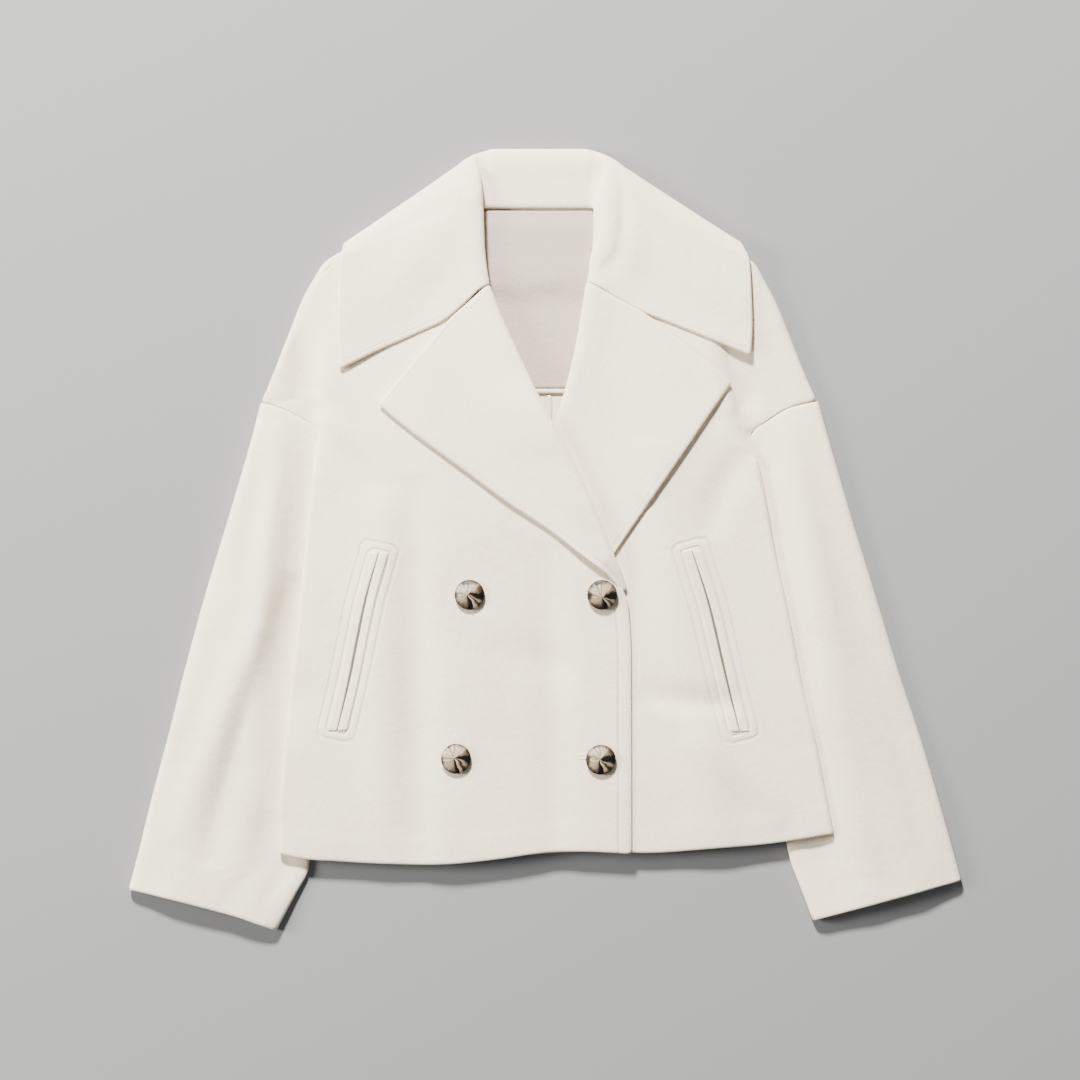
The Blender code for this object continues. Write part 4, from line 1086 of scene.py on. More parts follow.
def tape_grid():
    lift = (WOOL + TAPE) / 2 + SEAM_GAP
    edges = (CENTRE_BACK - TAPE_WIDTH / 2, CENTRE_BACK + TAPE_WIDTH / 2)
    lines = [[(x, y) for x in edges] for y in np.linspace(*TAPE_ENDS, 9)]
    return strip_grid(lines, lambda x, y: back_height(x, y) + lift)


def mouth_half_width(side, y):
    """The pocket gapes most half way down its slit."""
    rows = POCKET[side].rows
    share = (rows[0, 1] - y) / (rows[0, 1] - rows[-1, 1])
    return mix(MOUTH_END_HALF_WIDTH, MOUTH_HALF_WIDTH, math.sin(math.pi * min(max(share, 0.0), 1.0)))


def lip_grid(side, outer):
    lift = (WOOL + LIP) / 2 + BUTT_GAP
    slit = POCKET[side].smooth(3)
    points = np.column_stack([slit.column("x"), slit.column("y")])
    away = SIGN[side] * (1 if outer else -1)
    lines = []
    for x, y in points:
        near, far = (x + away * distance for distance in (mouth_half_width(side, y), SEAM_GAP + LIP_WIDTH))
        lines.append([(near, y), ((near + far) / 2, y), (far, y)])
    return strip_grid(lines, lambda x, y: front_height(side, x, y) + lift)


# Finer cloth


def between(points, counts):
    """Points of a grid's lines with others between them on smooth curves, as many in each step as its count says."""
    steps = points[1:] - points[:-1]
    spans = np.maximum(np.linalg.norm(steps, axis=2, keepdims=True), 1e-6)
    slopes = steps / spans
    middle = (slopes[:-1] * spans[1:] + slopes[1:] * spans[:-1]) / (spans[:-1] + spans[1:])
    tangents = np.concatenate([slopes[:1], middle, slopes[-1:]])
    found = []
    for i, count in enumerate(counts):
        for t in np.arange(count) / count:
            found.append(
                points[i] * (2 * t**3 - 3 * t**2 + 1)
                + tangents[i] * spans[i] * (t**3 - 2 * t**2 + t)
                + points[i + 1] * (3 * t**2 - 2 * t**3)
                + tangents[i + 1] * spans[i] * (t**3 - t**2)
            )
    found.append(points[-1])
    return np.array(found)


def counts_for(points, spacing):
    lengths = np.linalg.norm(points[1:] - points[:-1], axis=2)
    return np.clip(np.ceil(lengths.mean(axis=1) / spacing), 1, 12).astype(int)


def refined(grid, spacing):
    """The grid redrawn on smooth curves, with points about this far apart."""
    rows = between(grid, counts_for(grid, spacing))
    columns = rows.transpose(1, 0, 2)
    return between(columns, counts_for(columns, spacing)).transpose(1, 0, 2)


def creases(table, x, y):
    """How far the soft folds of a table raise the cloth at each place."""
    total = np.zeros(np.shape(x))
    for row in table.named():
        start = np.array((row["x0"], row["y0"]))
        span = np.array((row["x1"], row["y1"])) - start
        length = np.linalg.norm(span)
        along = ((x - start[0]) * span[0] + (y - start[1]) * span[1]) / length**2
        aside = ((y - start[1]) * span[0] - (x - start[0]) * span[1]) / length
        taper = np.clip(4 * along * (1 - along), 0.0, 1.0)
        aside = aside - row["bow"] * taper
        width = row["width"] * np.where(aside > 0, row["lean"], 2 - row["lean"])
        total += row["rise"] * np.exp(-((aside / width) ** 2)) * taper**0.6
    return total


def creased(grid, table):
    grid = grid.copy()
    grid[..., 2] += creases(table, grid[..., 0], grid[..., 1])
    return grid


def softened(grid, centre, reach, rounds=40):
    """Even out the height of the cloth near one place, most at the place itself."""
    grid = grid.copy()
    z = grid[..., 2]
    near = np.linalg.norm(grid[..., :2] - centre, axis=2)
    weight = ramp(near, reach, reach / 2)[1:-1, 1:-1] / 2
    for _ in range(rounds):
        mean = (z[2:, 1:-1] + z[:-2, 1:-1] + z[1:-1, 2:] + z[1:-1, :-2]) / 4
        z[1:-1, 1:-1] += weight * (mean - z[1:-1, 1:-1])
    return grid


def line_distance(grid, path):
    """The distance of each grid point from a line of points, and how far along the line its nearest point is."""
    points = grid.reshape(-1, 3)
    best = np.full(len(points), 1e9)
    place = np.zeros(len(points))
    run = 0.0
    for a, b in zip(path[:-1], path[1:]):
        span = b - a
        length = np.linalg.norm(span)
        if length < 1e-6:
            continue
        t = np.clip((points - a) @ span / length**2, 0.0, 1.0)
        gap = np.linalg.norm(points - a - t[:, None] * span, axis=1)
        nearer = gap < best
        best = np.where(nearer, gap, best)
        place = np.where(nearer, run + t * length, place)
        run += length
    return best.reshape(grid.shape[:2]), place.reshape(grid.shape[:2])


def sewn_lines(fields, pressed=None):
    """What the cloth keeps of its lines: the distance from the nearest row of stitches, the place along that row, and the
    distance from a line that is only pressed in."""
    distance, place = fields[0]
    for other, along in fields[1:]:
        closer = np.abs(other) < np.abs(distance)
        distance = np.where(closer, other, distance)
        place = np.where(closer, along, place)
    if pressed is None:
        pressed = np.full_like(distance, FAR_FROM_STITCHES)
    return np.stack([distance, place, pressed], axis=-1)


def frame_field(side, grid, half_width, corner, overrun):
    """A frame sewn round a pocket: positive outside it."""
    slit = POCKET[side]
    x, y = grid[..., 0], grid[..., 1]
    top, bottom = slit.rows[0, :2], slit.rows[-1, :2]
    axis = unit(bottom - top)
    ys = slit.column("y")[::-1]
    xs = slit.column("x")[::-1]
    across = (x - np.interp(y, ys, xs)) * abs(axis[1])
    across = np.where(y > top[1], (x - top[0]) * -axis[1] + (y - top[1]) * axis[0], across)
    across = np.where(y < bottom[1], (x - bottom[0]) * -axis[1] + (y - bottom[1]) * axis[0], across)
    along = (x - top[0]) * axis[0] + (y - top[1]) * axis[1]
    length = np.linalg.norm(bottom - top)
    beyond_side = np.abs(across) - half_width + corner
    beyond_end = np.abs(along - length / 2) - length / 2 - overrun + corner
    outside = np.hypot(np.maximum(beyond_side, 0), np.maximum(beyond_end, 0))
    distance = outside + np.minimum(np.maximum(beyond_side, beyond_end), 0) - corner
    return distance, np.where(beyond_side > beyond_end, along, across + length)


# Making the pieces


def deselect_all():
    if bpy.context.mode != "OBJECT":
        bpy.ops.object.mode_set(mode="OBJECT")
    bpy.ops.object.select_all(action="DESELECT")


def make_active(obj):
    deselect_all()
    obj.select_set(True)
    bpy.context.view_layer.objects.active = obj


def apply_all(obj):
    make_active(obj)
    for modifier in list(obj.modifiers):
        bpy.ops.object.modifier_apply(modifier=modifier.name)


def cloth(node, grid, thickness, materials, stitches=None, tube=False, sewn_on=None, reverse=False):
    """A piece of cloth from the points in the middle of its thickness, with its wall, rounded edges and its own UVs.

    The list of what is sewn on it is not used.
    """
    name, slot = piece_name(node), slot_of(node)
    obj, flat, area = strip_of_cloth(name, grid, thickness, materials, stitches, tube, reverse)
    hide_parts(node)
    return obj


def strip_of_cloth(name, grid, thickness, materials, stitches=None, tube=False, reverse=False):
    """The mesh of a piece of cloth, its flat width and length, and its flat area."""
    grid[..., 2] = np.maximum(grid[..., 2], thickness / 2)
    rows, columns = grid.shape[:2]
    if stitches is None:
        stitches = np.tile((FAR_FROM_STITCHES, 0.0, FAR_FROM_STITCHES), (rows, columns, 1))
    along = np.concatenate([[0.0], np.cumsum(np.linalg.norm(grid[1:] - grid[:-1], axis=2).max(axis=1))])
    across = np.concatenate([[0.0], np.cumsum(np.linalg.norm(grid[:, 1:] - grid[:, :-1], axis=2).max(axis=0))])
    index = np.arange(rows * columns).reshape(rows, columns)
    corners = np.stack([index[:-1, :-1], index[:-1, 1:], index[1:, 1:], index[1:, :-1]], axis=-1).reshape(-1, 4)
    mesh = bpy.data.meshes.new(name)
    mesh.from_pydata((grid.reshape(-1, 3) * MM).tolist(), [], corners.tolist())
    uv = mesh.uv_layers.new(name="cut")
    flat = np.stack(np.meshgrid(across, along), axis=-1).reshape(-1, 2) * MM
    uv.data.foreach_set("uv", flat[corners.reshape(-1)].reshape(-1).astype(np.float32))
    lines = mesh.attributes.new("stitch", "FLOAT_VECTOR", "POINT")
    lines.data.foreach_set("vector", stitches.reshape(-1).astype(np.float32))
    bm = bmesh.new()
    bm.from_mesh(mesh)
    if tube:
        bmesh.ops.remove_doubles(bm, verts=bm.verts, dist=0.01 * MM)
    bmesh.ops.recalc_face_normals(bm, faces=bm.faces)
    up = sum(face.normal.z * face.calc_area() for face in bm.faces)
    if not tube and up < 0:
        bmesh.ops.reverse_faces(bm, faces=bm.faces)
    area = sum(face.calc_area() for face in bm.faces)
    bm.to_mesh(mesh)
    bm.free()
    obj = bpy.data.objects.new(name, mesh)
    bpy.context.scene.collection.objects.link(obj)
    for material in materials:
        mesh.materials.append(material)
    wall = obj.modifiers.new("wall", "SOLIDIFY")
    wall.thickness = thickness * MM
    wall.offset = 0.0
    wall.use_quality_normals = True
    if reverse:
        wall.material_offset = 1
    round_off = obj.modifiers.new("soft_edges", "SUBSURF")
    round_off.levels = round_off.render_levels = 1
    apply_all(obj)
    bpy.ops.object.shade_smooth()
    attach(obj, "root")
    width, length = across[-1] * MM, along[-1] * MM
    return obj, (width, length), min(area, width * length)


def piece_name(node):
    return f"{node}_cloth"


def made(*nodes):
    """The pieces already made in place of these nodes."""
    return [bpy.data.objects[piece_name(node)] for node in nodes]


def slot_of(node):
    for part in frame["record"]["subparts"]:
        if part["node"] == node:
            return part["material_slot"]
    raise ValueError(f"no node is named {node}")


# Materials


def linear(hex_colour):
    """The linear colour of an sRGB hex value."""
    found = []
    for start in (1, 3, 5):
        value = int(hex_colour[start : start + 2], 16) / 255
        found.append(value / 12.92 if value <= 0.04045 else ((value + 0.055) / 1.055) ** 2.4)
    return (*found, 1.0)


def add(material, kind, settings=None, stops=(), **inputs):
    """A node with its settings, its ramp's stops as (position, colour), and a value or an output on each input."""
    tree = material.node_tree
    node = tree.nodes.new(kind)
    for name, value in (settings or {}).items():
        setattr(node, name, value)
    for name, value in inputs.items():
        key = int(name[1:]) if name[0] == "_" else name.replace("_", " ")
        socket = node.inputs[key]
        if isinstance(value, bpy.types.NodeSocket):
            tree.links.new(value, socket)
        else:
            socket.default_value = value
    if stops:
        elements = node.color_ramp.elements
        while len(elements) < len(stops):
            elements.new(1.0)
        for element, (position, colour) in zip(elements, stops):
            element.position = position
            element.color = colour
    return node


def new_material(name):
    material = bpy.data.materials.new(name)
    material.use_nodes = True
    shader = material.node_tree.nodes["Principled BSDF"]
    return material, shader


def link(material, output, node, name):
    material.node_tree.links.new(output, node.inputs[name])


def per_mm(size):
    """A texture scale that repeats in this many millimetres."""
    return 1 / (size * MM)


def stitch_relief(material):
    """Millimetres of relief of the topstitching, and a mask of its sunk grooves along which shade is painted, from the
    stitch lines kept on the cloth.
    """
    lines = add(material, "ShaderNodeAttribute", {"attribute_name": "stitch"})
    parts = add(material, "ShaderNodeSeparateXYZ", Vector=lines.outputs["Vector"])
    distance = add(material, "ShaderNodeMath", {"operation": "ABSOLUTE"}, _0=parts.outputs["X"])
    aside = add(material, "ShaderNodeMath", {"operation": "ABSOLUTE"}, _0=parts.outputs["Z"])
    stitch = add(material, "ShaderNodeMath", {"operation": "DIVIDE"}, _0=parts.outputs["Y"], _1=STITCH_LENGTH)
    wave = add(material, "ShaderNodeMath", {"operation": "PINGPONG"}, _0=stitch.outputs[0], _1=0.5)
    # Each line is 1 in its middle and fades softly to 0 at its half width
    lines = []
    for place, half_width in (
        (distance, GROOVE_HALF_WIDTH),
        (aside, PRESSED_HALF_WIDTH),
        (wave, STITCH_GAP),
        (distance, THREAD_HALF_WIDTH),
    ):
        fade = {"Value": place.outputs[0], "From_Min": half_width, "From_Max": 0.0}
        line = add(material, "ShaderNodeMapRange", {"interpolation_type": "SMOOTHSTEP"}, **fade)
        lines.append(line.outputs[0])
    groove, pressed, gap, thread = lines
    between = add(material, "ShaderNodeMath", {"operation": "SUBTRACT"}, _0=1.0, _1=gap)
    on_thread = add(material, "ShaderNodeMath", {"operation": "MULTIPLY"}, _0=thread, _1=between.outputs[0])
    either = add(material, "ShaderNodeMath", {"operation": "MAXIMUM"}, _0=groove, _1=pressed)
    sunk = add(material, "ShaderNodeMath", {"operation": "MULTIPLY"}, _0=either.outputs[0], _1=-GROOVE_DEPTH)
    raised = add(
        material,
        "ShaderNodeMath",
        {"operation": "MULTIPLY_ADD"},
        _0=on_thread.outputs[0],
        _1=THREAD_RISE,
        _2=sunk.outputs[0],
    )
    return raised.outputs[0], either.outputs[0]


def felted_cloth(name, light, dark, fibre, roughness, sheen):
    """Melton wool, fulled until its weave is hidden under a short matt nap that is a little uneven in tone."""
    material, shader = new_material(name)
    place = add(material, "ShaderNodeTexCoord").outputs["Object"]
    nap = add(material, "ShaderNodeTexNoise", Vector=place, Scale=per_mm(fibre), Detail=4.0, Roughness=0.65)
    tufts = add(material, "ShaderNodeTexNoise", Vector=place, Scale=per_mm(fibre * 5), Detail=3.0, Roughness=0.6)
    clouds = add(material, "ShaderNodeTexNoise", Vector=place, Scale=per_mm(CLOUD_WIDTH), Detail=2.0)
    tone = 0.0
    for noise, weight in ((nap, 0.55), (tufts, 0.3), (clouds, 0.45)):
        added = {"_0": noise.outputs["Fac"], "_1": weight, "_2": tone}
        tone = add(material, "ShaderNodeMath", {"operation": "MULTIPLY_ADD"}, **added).outputs[0]
    stops = [(0.36, linear(dark)), (0.66, linear(light))]
    colour = add(material, "ShaderNodeValToRGB", stops=stops, Fac=tone)
    relief, groove = stitch_relief(material)
    # Painted shade: the colour is darkened along the sunk grooves of the stitching and the pressed lines
    shade = add(material, "ShaderNodeValToRGB", stops=[(0.0, WHITE), (1.0, GROOVE_SHADE)], Fac=groove)
    mixed = add(
        material,
        "ShaderNodeMix",
        {"data_type": "RGBA", "blend_type": "MULTIPLY"},
        _0=1.0,
        _6=colour.outputs["Color"],
        _7=shade.outputs["Color"],
    )
    link(material, mixed.outputs[2], shader, "Base Color")
    height = relief
    for noise, rise in ((nap, NAP_RELIEF), (tufts, NAP_RELIEF * 1.6)):
        raised = {"_0": noise.outputs["Fac"], "_1": rise, "_2": height}
        height = add(material, "ShaderNodeMath", {"operation": "MULTIPLY_ADD"}, **raised).outputs[0]
    bump = add(material, "ShaderNodeBump", Height=height, Strength=1.0, Distance=MM)
    link(material, bump.outputs["Normal"], shader, "Normal")
    shader.inputs["Roughness"].default_value = roughness
    shader.inputs["Specular IOR Level"].default_value = 0.25
    shader.inputs["Sheen Weight"].default_value = sheen
    shader.inputs["Sheen Roughness"].default_value = 0.6
    return material


def woven_cloth(name, light, dark, thread, roughness):
    """A plain woven cotton, its threads just proud of each other in both directions."""
    material, shader = new_material(name)
    place = add(material, "ShaderNodeUVMap", {"uv_map": "cut"}).outputs["UV"]
    bands = {"Vector": place, "Scale": per_mm(thread * 6.28), "Distortion": 0.6}
    warp = add(material, "ShaderNodeTexWave", {"bands_direction": "X"}, **bands)
    weft = add(material, "ShaderNodeTexWave", {"bands_direction": "Y"}, **bands)
    slub = add(material, "ShaderNodeTexNoise", Vector=place, Scale=per_mm(9), Detail=4.0)
    crossed = {"_0": warp.outputs["Fac"], "_1": weft.outputs["Fac"]}
    weave = add(material, "ShaderNodeMath", {"operation": "MULTIPLY"}, **crossed)
    uneven = {"_0": weave.outputs[0], "_1": 0.4, "_2": slub.outputs["Fac"]}
    tone = add(material, "ShaderNodeMath", {"operation": "MULTIPLY_ADD"}, **uneven)
    stops = [(0.3, linear(dark)), (0.95, linear(light))]
    colour = add(material, "ShaderNodeValToRGB", stops=stops, Fac=tone.outputs[0])
    link(material, colour.outputs["Color"], shader, "Base Color")
    bump = add(material, "ShaderNodeBump", Height=weave.outputs[0], Strength=0.5, Distance=0.15 * MM)
    link(material, bump.outputs["Normal"], shader, "Normal")
    shader.inputs["Roughness"].default_value = roughness
    return material


def mottled_resin(name):
    """Cast polyester made to look like horn: cream and dark brown run together in streaks under a polished face."""
    material, shader = new_material(name)
    face = add(material, "ShaderNodeUVMap", {"uv_map": "face"}).outputs["UV"]
    place = add(material, "ShaderNodeTexCoord").outputs["Object"]
    drift = add(material, "ShaderNodeTexNoise", Vector=place, Scale=per_mm(16), Detail=2.0)
    centred = {"_0": drift.outputs["Color"], "_1": (0.5, 0.5, 0.5)}
    drift = add(material, "ShaderNodeVectorMath", {"operation": "SUBTRACT"}, **centred)
    shifted = {"_0": drift.outputs[0], "_1": (0.7, 0.7, 0.0), "_2": face}
    moved = add(material, "ShaderNodeVectorMath", {"operation": "MULTIPLY_ADD"}, **shifted)
    wedges = add(material, "ShaderNodeTexGradient", {"gradient_type": "RADIAL"}, Vector=moved.outputs[0])
    radius = add(material, "ShaderNodeVectorMath", {"operation": "LENGTH"}, _0=moved.outputs[0])
    fan = add(material, "ShaderNodeCombineXYZ", X=wedges.outputs["Fac"], Y=radius.outputs["Value"])
    streaks = add(material, "ShaderNodeMapping", Vector=fan.outputs[0], Scale=(26.0, 1.6, 1.0))
    streaks = add(material, "ShaderNodeTexNoise", Vector=streaks.outputs[0], Scale=1.0, Detail=4.0, Roughness=0.6)
    uneven = {"_0": streaks.outputs["Fac"], "_1": 0.1, "_2": -0.05}
    shift = add(material, "ShaderNodeMath", {"operation": "MULTIPLY_ADD"}, **uneven)
    turn = add(material, "ShaderNodeMath", {"operation": "ADD"}, _0=wedges.outputs["Fac"], _1=shift.outputs[0])
    turn = add(material, "ShaderNodeMath", {"operation": "FRACT"}, _0=turn.outputs[0])
    tones = {name: linear(colour) for name, colour in HORN_TONES.items()}
    stops = [(place, tones[name]) for place, name in zip(HORN_TURNS, HORN_TURN_TONES.split())]
    sectors = add(material, "ShaderNodeValToRGB", stops=stops, Fac=turn.outputs[0])
    stops = [(place, tones[name]) for place, name in zip(RIM_SPOT_TURNS, RIM_SPOT_TONES.split())]
    spots = add(material, "ShaderNodeValToRGB", stops=stops, Fac=turn.outputs[0])
    rim = add(
        material,
        "ShaderNodeMapRange",
        {"interpolation_type": "SMOOTHSTEP"},
        Value=radius.outputs["Value"],
        From_Min=0.62,
        From_Max=0.86,
    )
    colour = add(
        material,
        "ShaderNodeMix",
        {"data_type": "RGBA", "blend_type": "DARKEN"},
        _0=rim.outputs[0],
        _6=sectors.outputs["Color"],
        _7=spots.outputs["Color"],
    )
    stops = [(0.4, linear("#A69A8A")), (0.58, WHITE)]
    veins = add(material, "ShaderNodeValToRGB", stops=stops, Fac=streaks.outputs["Fac"])
    # The button's colour darkens towards its rim
    stops = [(0.72, WHITE), (0.97, linear("#6B5442"))]
    darker_towards_rim = add(material, "ShaderNodeValToRGB", stops=stops, Fac=radius.outputs["Value"])
    for tone in (veins, darker_towards_rim):
        colour = add(
            material,
            "ShaderNodeMix",
            {"data_type": "RGBA", "blend_type": "MULTIPLY"},
            _0=1.0,
            _6=colour.outputs[2],
            _7=tone.outputs["Color"],
        )
    link(material, colour.outputs[2], shader, "Base Color")
    shader.inputs["Roughness"].default_value = 0.48
    shader.inputs["IOR"].default_value = 1.5
    shader.inputs["Specular IOR Level"].default_value = 0.25
    return material


def material_named(name):
    """Each finish is made once and shared."""
    made = bpy.data.materials.get(name)
    if made:
        return made
    settings = bpy.context.scene.jacket_cloth
    nap = settings.nap / MM
    wool = (settings.wool_light, settings.wool_dark)
    facing = (settings.facing_shaded_light, settings.facing_shaded_dark)
    makers = {
        "melton_wool": lambda: felted_cloth(name, *wool, nap, 0.95, 0.25),
        # The wool's inner face, darker and greyer than its face: painted shade for the inside of the back
        "melton_wool_reverse": lambda: felted_cloth(name, "#D2CFC8", "#C2BEB6", nap, 0.95, 0.2),
        # The facing's own cloth, coloured a darker pinkish grey than the wool to paint the shade that falls inside the
        # neck
        "cotton_twill_facing": lambda: felted_cloth(name, *facing, 0.8, 0.9, 0.1),
        # The pocket bag's dark colours paint the shade inside each pocket's opening
        "cotton_pocketing": lambda: woven_cloth(name, "#6F685C", "#4E483E", 0.5, 0.9),
        "cotton_tape_binding": lambda: woven_cloth(name, "#E8E5D8", "#CFCBBB", 0.6, 0.85),
        "cast_resin_horn": lambda: mottled_resin(name),
    }
    return makers[name]()


# The pieces


def point_spacing():
    """Millimetres between the points of the cloth."""
    return bpy.context.scene.jacket_cloth.spacing / MM


def front_pieces(side):
    grid = refined(front_grid(side, 3), point_spacing())
    grid = softened(grid, UNDERARM_FOLD[side], UNDERARM_REACH)
    grid = creased(grid, CHEST_CREASES)
    x, y = grid[..., 0], grid[..., 1]
    hem = HEM.at("x", x, "y")
    grid[..., 2] += HEM_RISE * ramp(y - hem, HEM_DEPTH + 2.0, HEM_DEPTH - 2.0)
    fields = [frame_field(side, grid, **OUTER_FRAME)]
    inner, _ = frame_field(side, grid, **INNER_FRAME)
    grid[..., 2] += POCKET_RISE * ramp(fields[0][0], 3.0, -6.0)
    flat = grid * (1.0, 1.0, 0.0)
    seam, _ = line_distance(flat, np.array([(*point, 0.0) for point in SHOULDER_SEAM[side]]))
    inner = np.minimum(inner, seam)
    if side == LEFT:
        beyond = FAR_FROM_STITCHES * ramp(x, *HEM_MARK_START)
        inner = np.where(y < HEM_MARK_TOP, np.abs(y - hem - HEM_DEPTH) + beyond, inner)
    if side == RIGHT:
        fields.append((OPENING.at("y", y, RIGHT) - x - EDGE_STITCH, y))
    return cloth(
        f"front_{side}",
        grid,
        WOOL,
        [material_named("melton_wool")],
        stitches=sewn_lines(fields, inner),
        sewn_on=[*made(*(f"pocket_lip_{side}_{place}" for place in ("outer", "inner"))), pocket_mouth(side)[0]],
    )


def lapel_piece(side):
    grid = refined(lapel_grid(side, 3), point_spacing() * 0.7)
    grid = creased(grid, CHEST_CREASES)
    if side == RIGHT:
        grid[..., 2] -= TIP_SUNK * ramp(grid[..., 1], *TIP_SUNK_FROM)
    edge = grid[:, -1]
    top = grid[0, ::-1]
    notch = np.argmin(np.linalg.norm(top[:, :2] - NOTCH[side], axis=1))
    path = np.concatenate([top[: notch + 1][::-1], edge[1:]])
    distance, along = line_distance(grid, path)
    return cloth(
        f"lapel_{side}",
        grid,
        TWO_PLY,
        [material_named("melton_wool")],
        stitches=sewn_lines([(np.hypot(distance - COLLAR_STITCH, COLLAR_STITCH_SPREAD), along)]),
        sewn_on=[],
    )


def collar_piece():
    grid = refined(collar_grid(3), point_spacing() * 0.8)
    top = ramp(grid[..., 2], 9.0, 12.0)
    grid[..., 2] += creases(CHEST_CREASES, grid[..., 0], grid[..., 1]) * top
    grid[..., 2] += creases(COLLAR_CREASES, grid[..., 0], grid[..., 1]) * top
    ends = []
    for row, side in ((grid[0], RIGHT), (grid[-1], LEFT)):
        start = np.argmin(np.linalg.norm(row[:, :2] - (NOTCH[side][0], NOTCH[side][1] + 3.0), axis=1))
        ends.append(row[start:])
    path = np.concatenate([ends[0], grid[1:-1, -1], ends[1][::-1]])
    distance, along = line_distance(grid, path)
    return cloth(
        "collar",
        grid,
        TWO_PLY,
        [material_named("melton_wool")],
        stitches=sewn_lines([(np.hypot(distance - COLLAR_STITCH, COLLAR_STITCH_SPREAD), along)]),
        sewn_on=[],
    )


def sleeve_piece(side):
    grid = refined(sleeve_grid(side, 3), point_spacing())
    upper = ramp(grid[..., 2], 3.2, 5.5)
    grid[..., 2] += creases(SLEEVE_CREASES[side], grid[..., 0], grid[..., 1]) * upper
    return cloth(f"sleeve_{side}", grid, WOOL, [material_named("melton_wool")], tube=True, sewn_on=[])


def back_piece(side):
    grid = refined(back_grid(side, 2), point_spacing() * 1.3)
    return cloth(
        f"back_{side}",
        grid,
        WOOL,
        # The back's inner face takes the darker copy of the wool, painted as the shade inside the coat
        [material_named("melton_wool"), material_named("melton_wool_reverse")],
        reverse=True,
        sewn_on=made("centre_back_tape") if side == RIGHT else [],
    )


def lip_piece(side, place):
    grid = creased(refined(lip_grid(side, place == "outer"), 3.0), CHEST_CREASES)
    grid[..., 2] += POCKET_RISE - LIP_SUNK
    cloth(f"pocket_lip_{side}_{place}", grid, LIP, [material_named("melton_wool")])


def pocket_mouth(side):
    """A dark strip between the lips: the pocket's cotton bag, coloured dark to paint the shade inside the pocket's
    opening.
    """
    slit = POCKET[side].smooth(6)
    lines = [[(x + aside, y) for aside in MOUTH_ACROSS] for x, y in slit.rows[:, :2]]
    grid = strip_grid(lines, lambda x, y: front_height(side, x, y) + WOOL / 2 + MOUTH_LEVEL)
    grid = creased(grid, CHEST_CREASES)
    grid[..., 2] += POCKET_RISE
    finish = [material_named("cotton_pocketing")]
    return strip_of_cloth(f"pocket_mouth_{side}", grid, SHADE_STRIP_THICKNESS, finish)


def neck_pieces():
    """The strips inside the back, and the facing that the upper one hems."""
    cloth("centre_back_tape", refined(tape_grid(), 6.0), TAPE, [material_named("cotton_tape_binding")])
    cloth("facing_hem_band", refined(band_grid(), 5.0), BAND, [material_named("cotton_tape_binding")])
    backs = [back_grid(side, 1)[FACING_FIRST_ROW:] for side in (RIGHT, LEFT)]
    facing = refined(facing_grid(backs), 4.0)
    facing[..., 2] -= SEAM_SUNK * ramp(facing[..., 1], *SEAM_SUNK_FROM)
    cloth(
        "back_facing",
        facing,
        FACING,
        # Its darker colours paint the shade that falls inside the neck
        [material_named("cotton_twill_facing")],
        sewn_on=made("facing_hem_band"),
    )


def cloth_slope(x, y):
    """How steeply the right front rises along X and along Y at a place."""
    reach = 6.0
    height = {}
    for name, dx, dy in (("east", reach, 0), ("west", -reach, 0), ("north", 0, reach), ("south", 0, -reach)):
        px, py = x + dx, y + dy
        height[name] = front_height(RIGHT, px, py) + float(creases(CHEST_CREASES, px, py))
    return (height["east"] - height["west"]) / (2 * reach), (height["north"] - height["south"]) / (2 * reach)


def front_top(x, y):
    """The height of the right front's surface."""
    return front_height(RIGHT, x, y) + float(creases(CHEST_CREASES, x, y)) + WOOL / 2


def button_piece(number, x, y):
    """A turned disc with a domed face inside a low rim, on a moulded shank, seated square to the cloth."""
    deselect_all()
    settings = bpy.context.scene.jacket_buttons
    scale = settings.diameter / (2 * BUTTON_RADIUS * MM)
    radius, height = BUTTON_PROFILE.rows[0]
    bpy.ops.mesh.primitive_circle_add(
        vertices=settings.sides,
        radius=radius * MM,
        fill_type="NGON",
        location=(0, 0, height * MM),
        enter_editmode=True,
    )
    obj = bpy.context.active_object
    obj.name = obj.data.name = f"coat_button_{number}"
    for next_radius, next_height in BUTTON_PROFILE.rows[1:]:
        grown = next_radius * (scale if next_radius > SHANK_RADIUS else 1.0)
        bpy.ops.mesh.extrude_region_move(TRANSFORM_OT_translate={"value": (0, 0, (next_height - height) * MM)})
        growth = grown / radius
        bpy.ops.transform.resize(value=(growth, growth, 1.0), center_override=(0, 0, next_height * MM))
        radius, height = grown, next_height
    bpy.ops.mesh.select_all(action="SELECT")
    bpy.ops.mesh.normals_make_consistent(inside=False)
    bpy.ops.object.mode_set(mode="OBJECT")
    face = obj.data.uv_layers.new(name="face")
    for loop in obj.data.loops:
        place = obj.data.vertices[loop.vertex_index].co
        face.data[loop.index].uv = place.xy / (settings.diameter / 2)
    slope_x, slope_y = cloth_slope(x, y)
    tilt = Matrix.Rotation(math.atan(slope_y), 4, "X") @ Matrix.Rotation(-math.atan(slope_x), 4, "Y")
    seat = Matrix.Translation(Vector((x, y, front_top(x, y) - 0.3)) * MM)
    obj.data.transform(seat @ tilt)
    smooth = obj.modifiers.new("turned_edges", "SUBSURF")
    smooth.levels = smooth.render_levels = 1
    apply_all(obj)
    bpy.ops.object.shade_smooth()
    obj.data.materials.append(material_named("cast_resin_horn"))
    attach(obj, "root")
    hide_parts(f"button_{number}")
    return obj


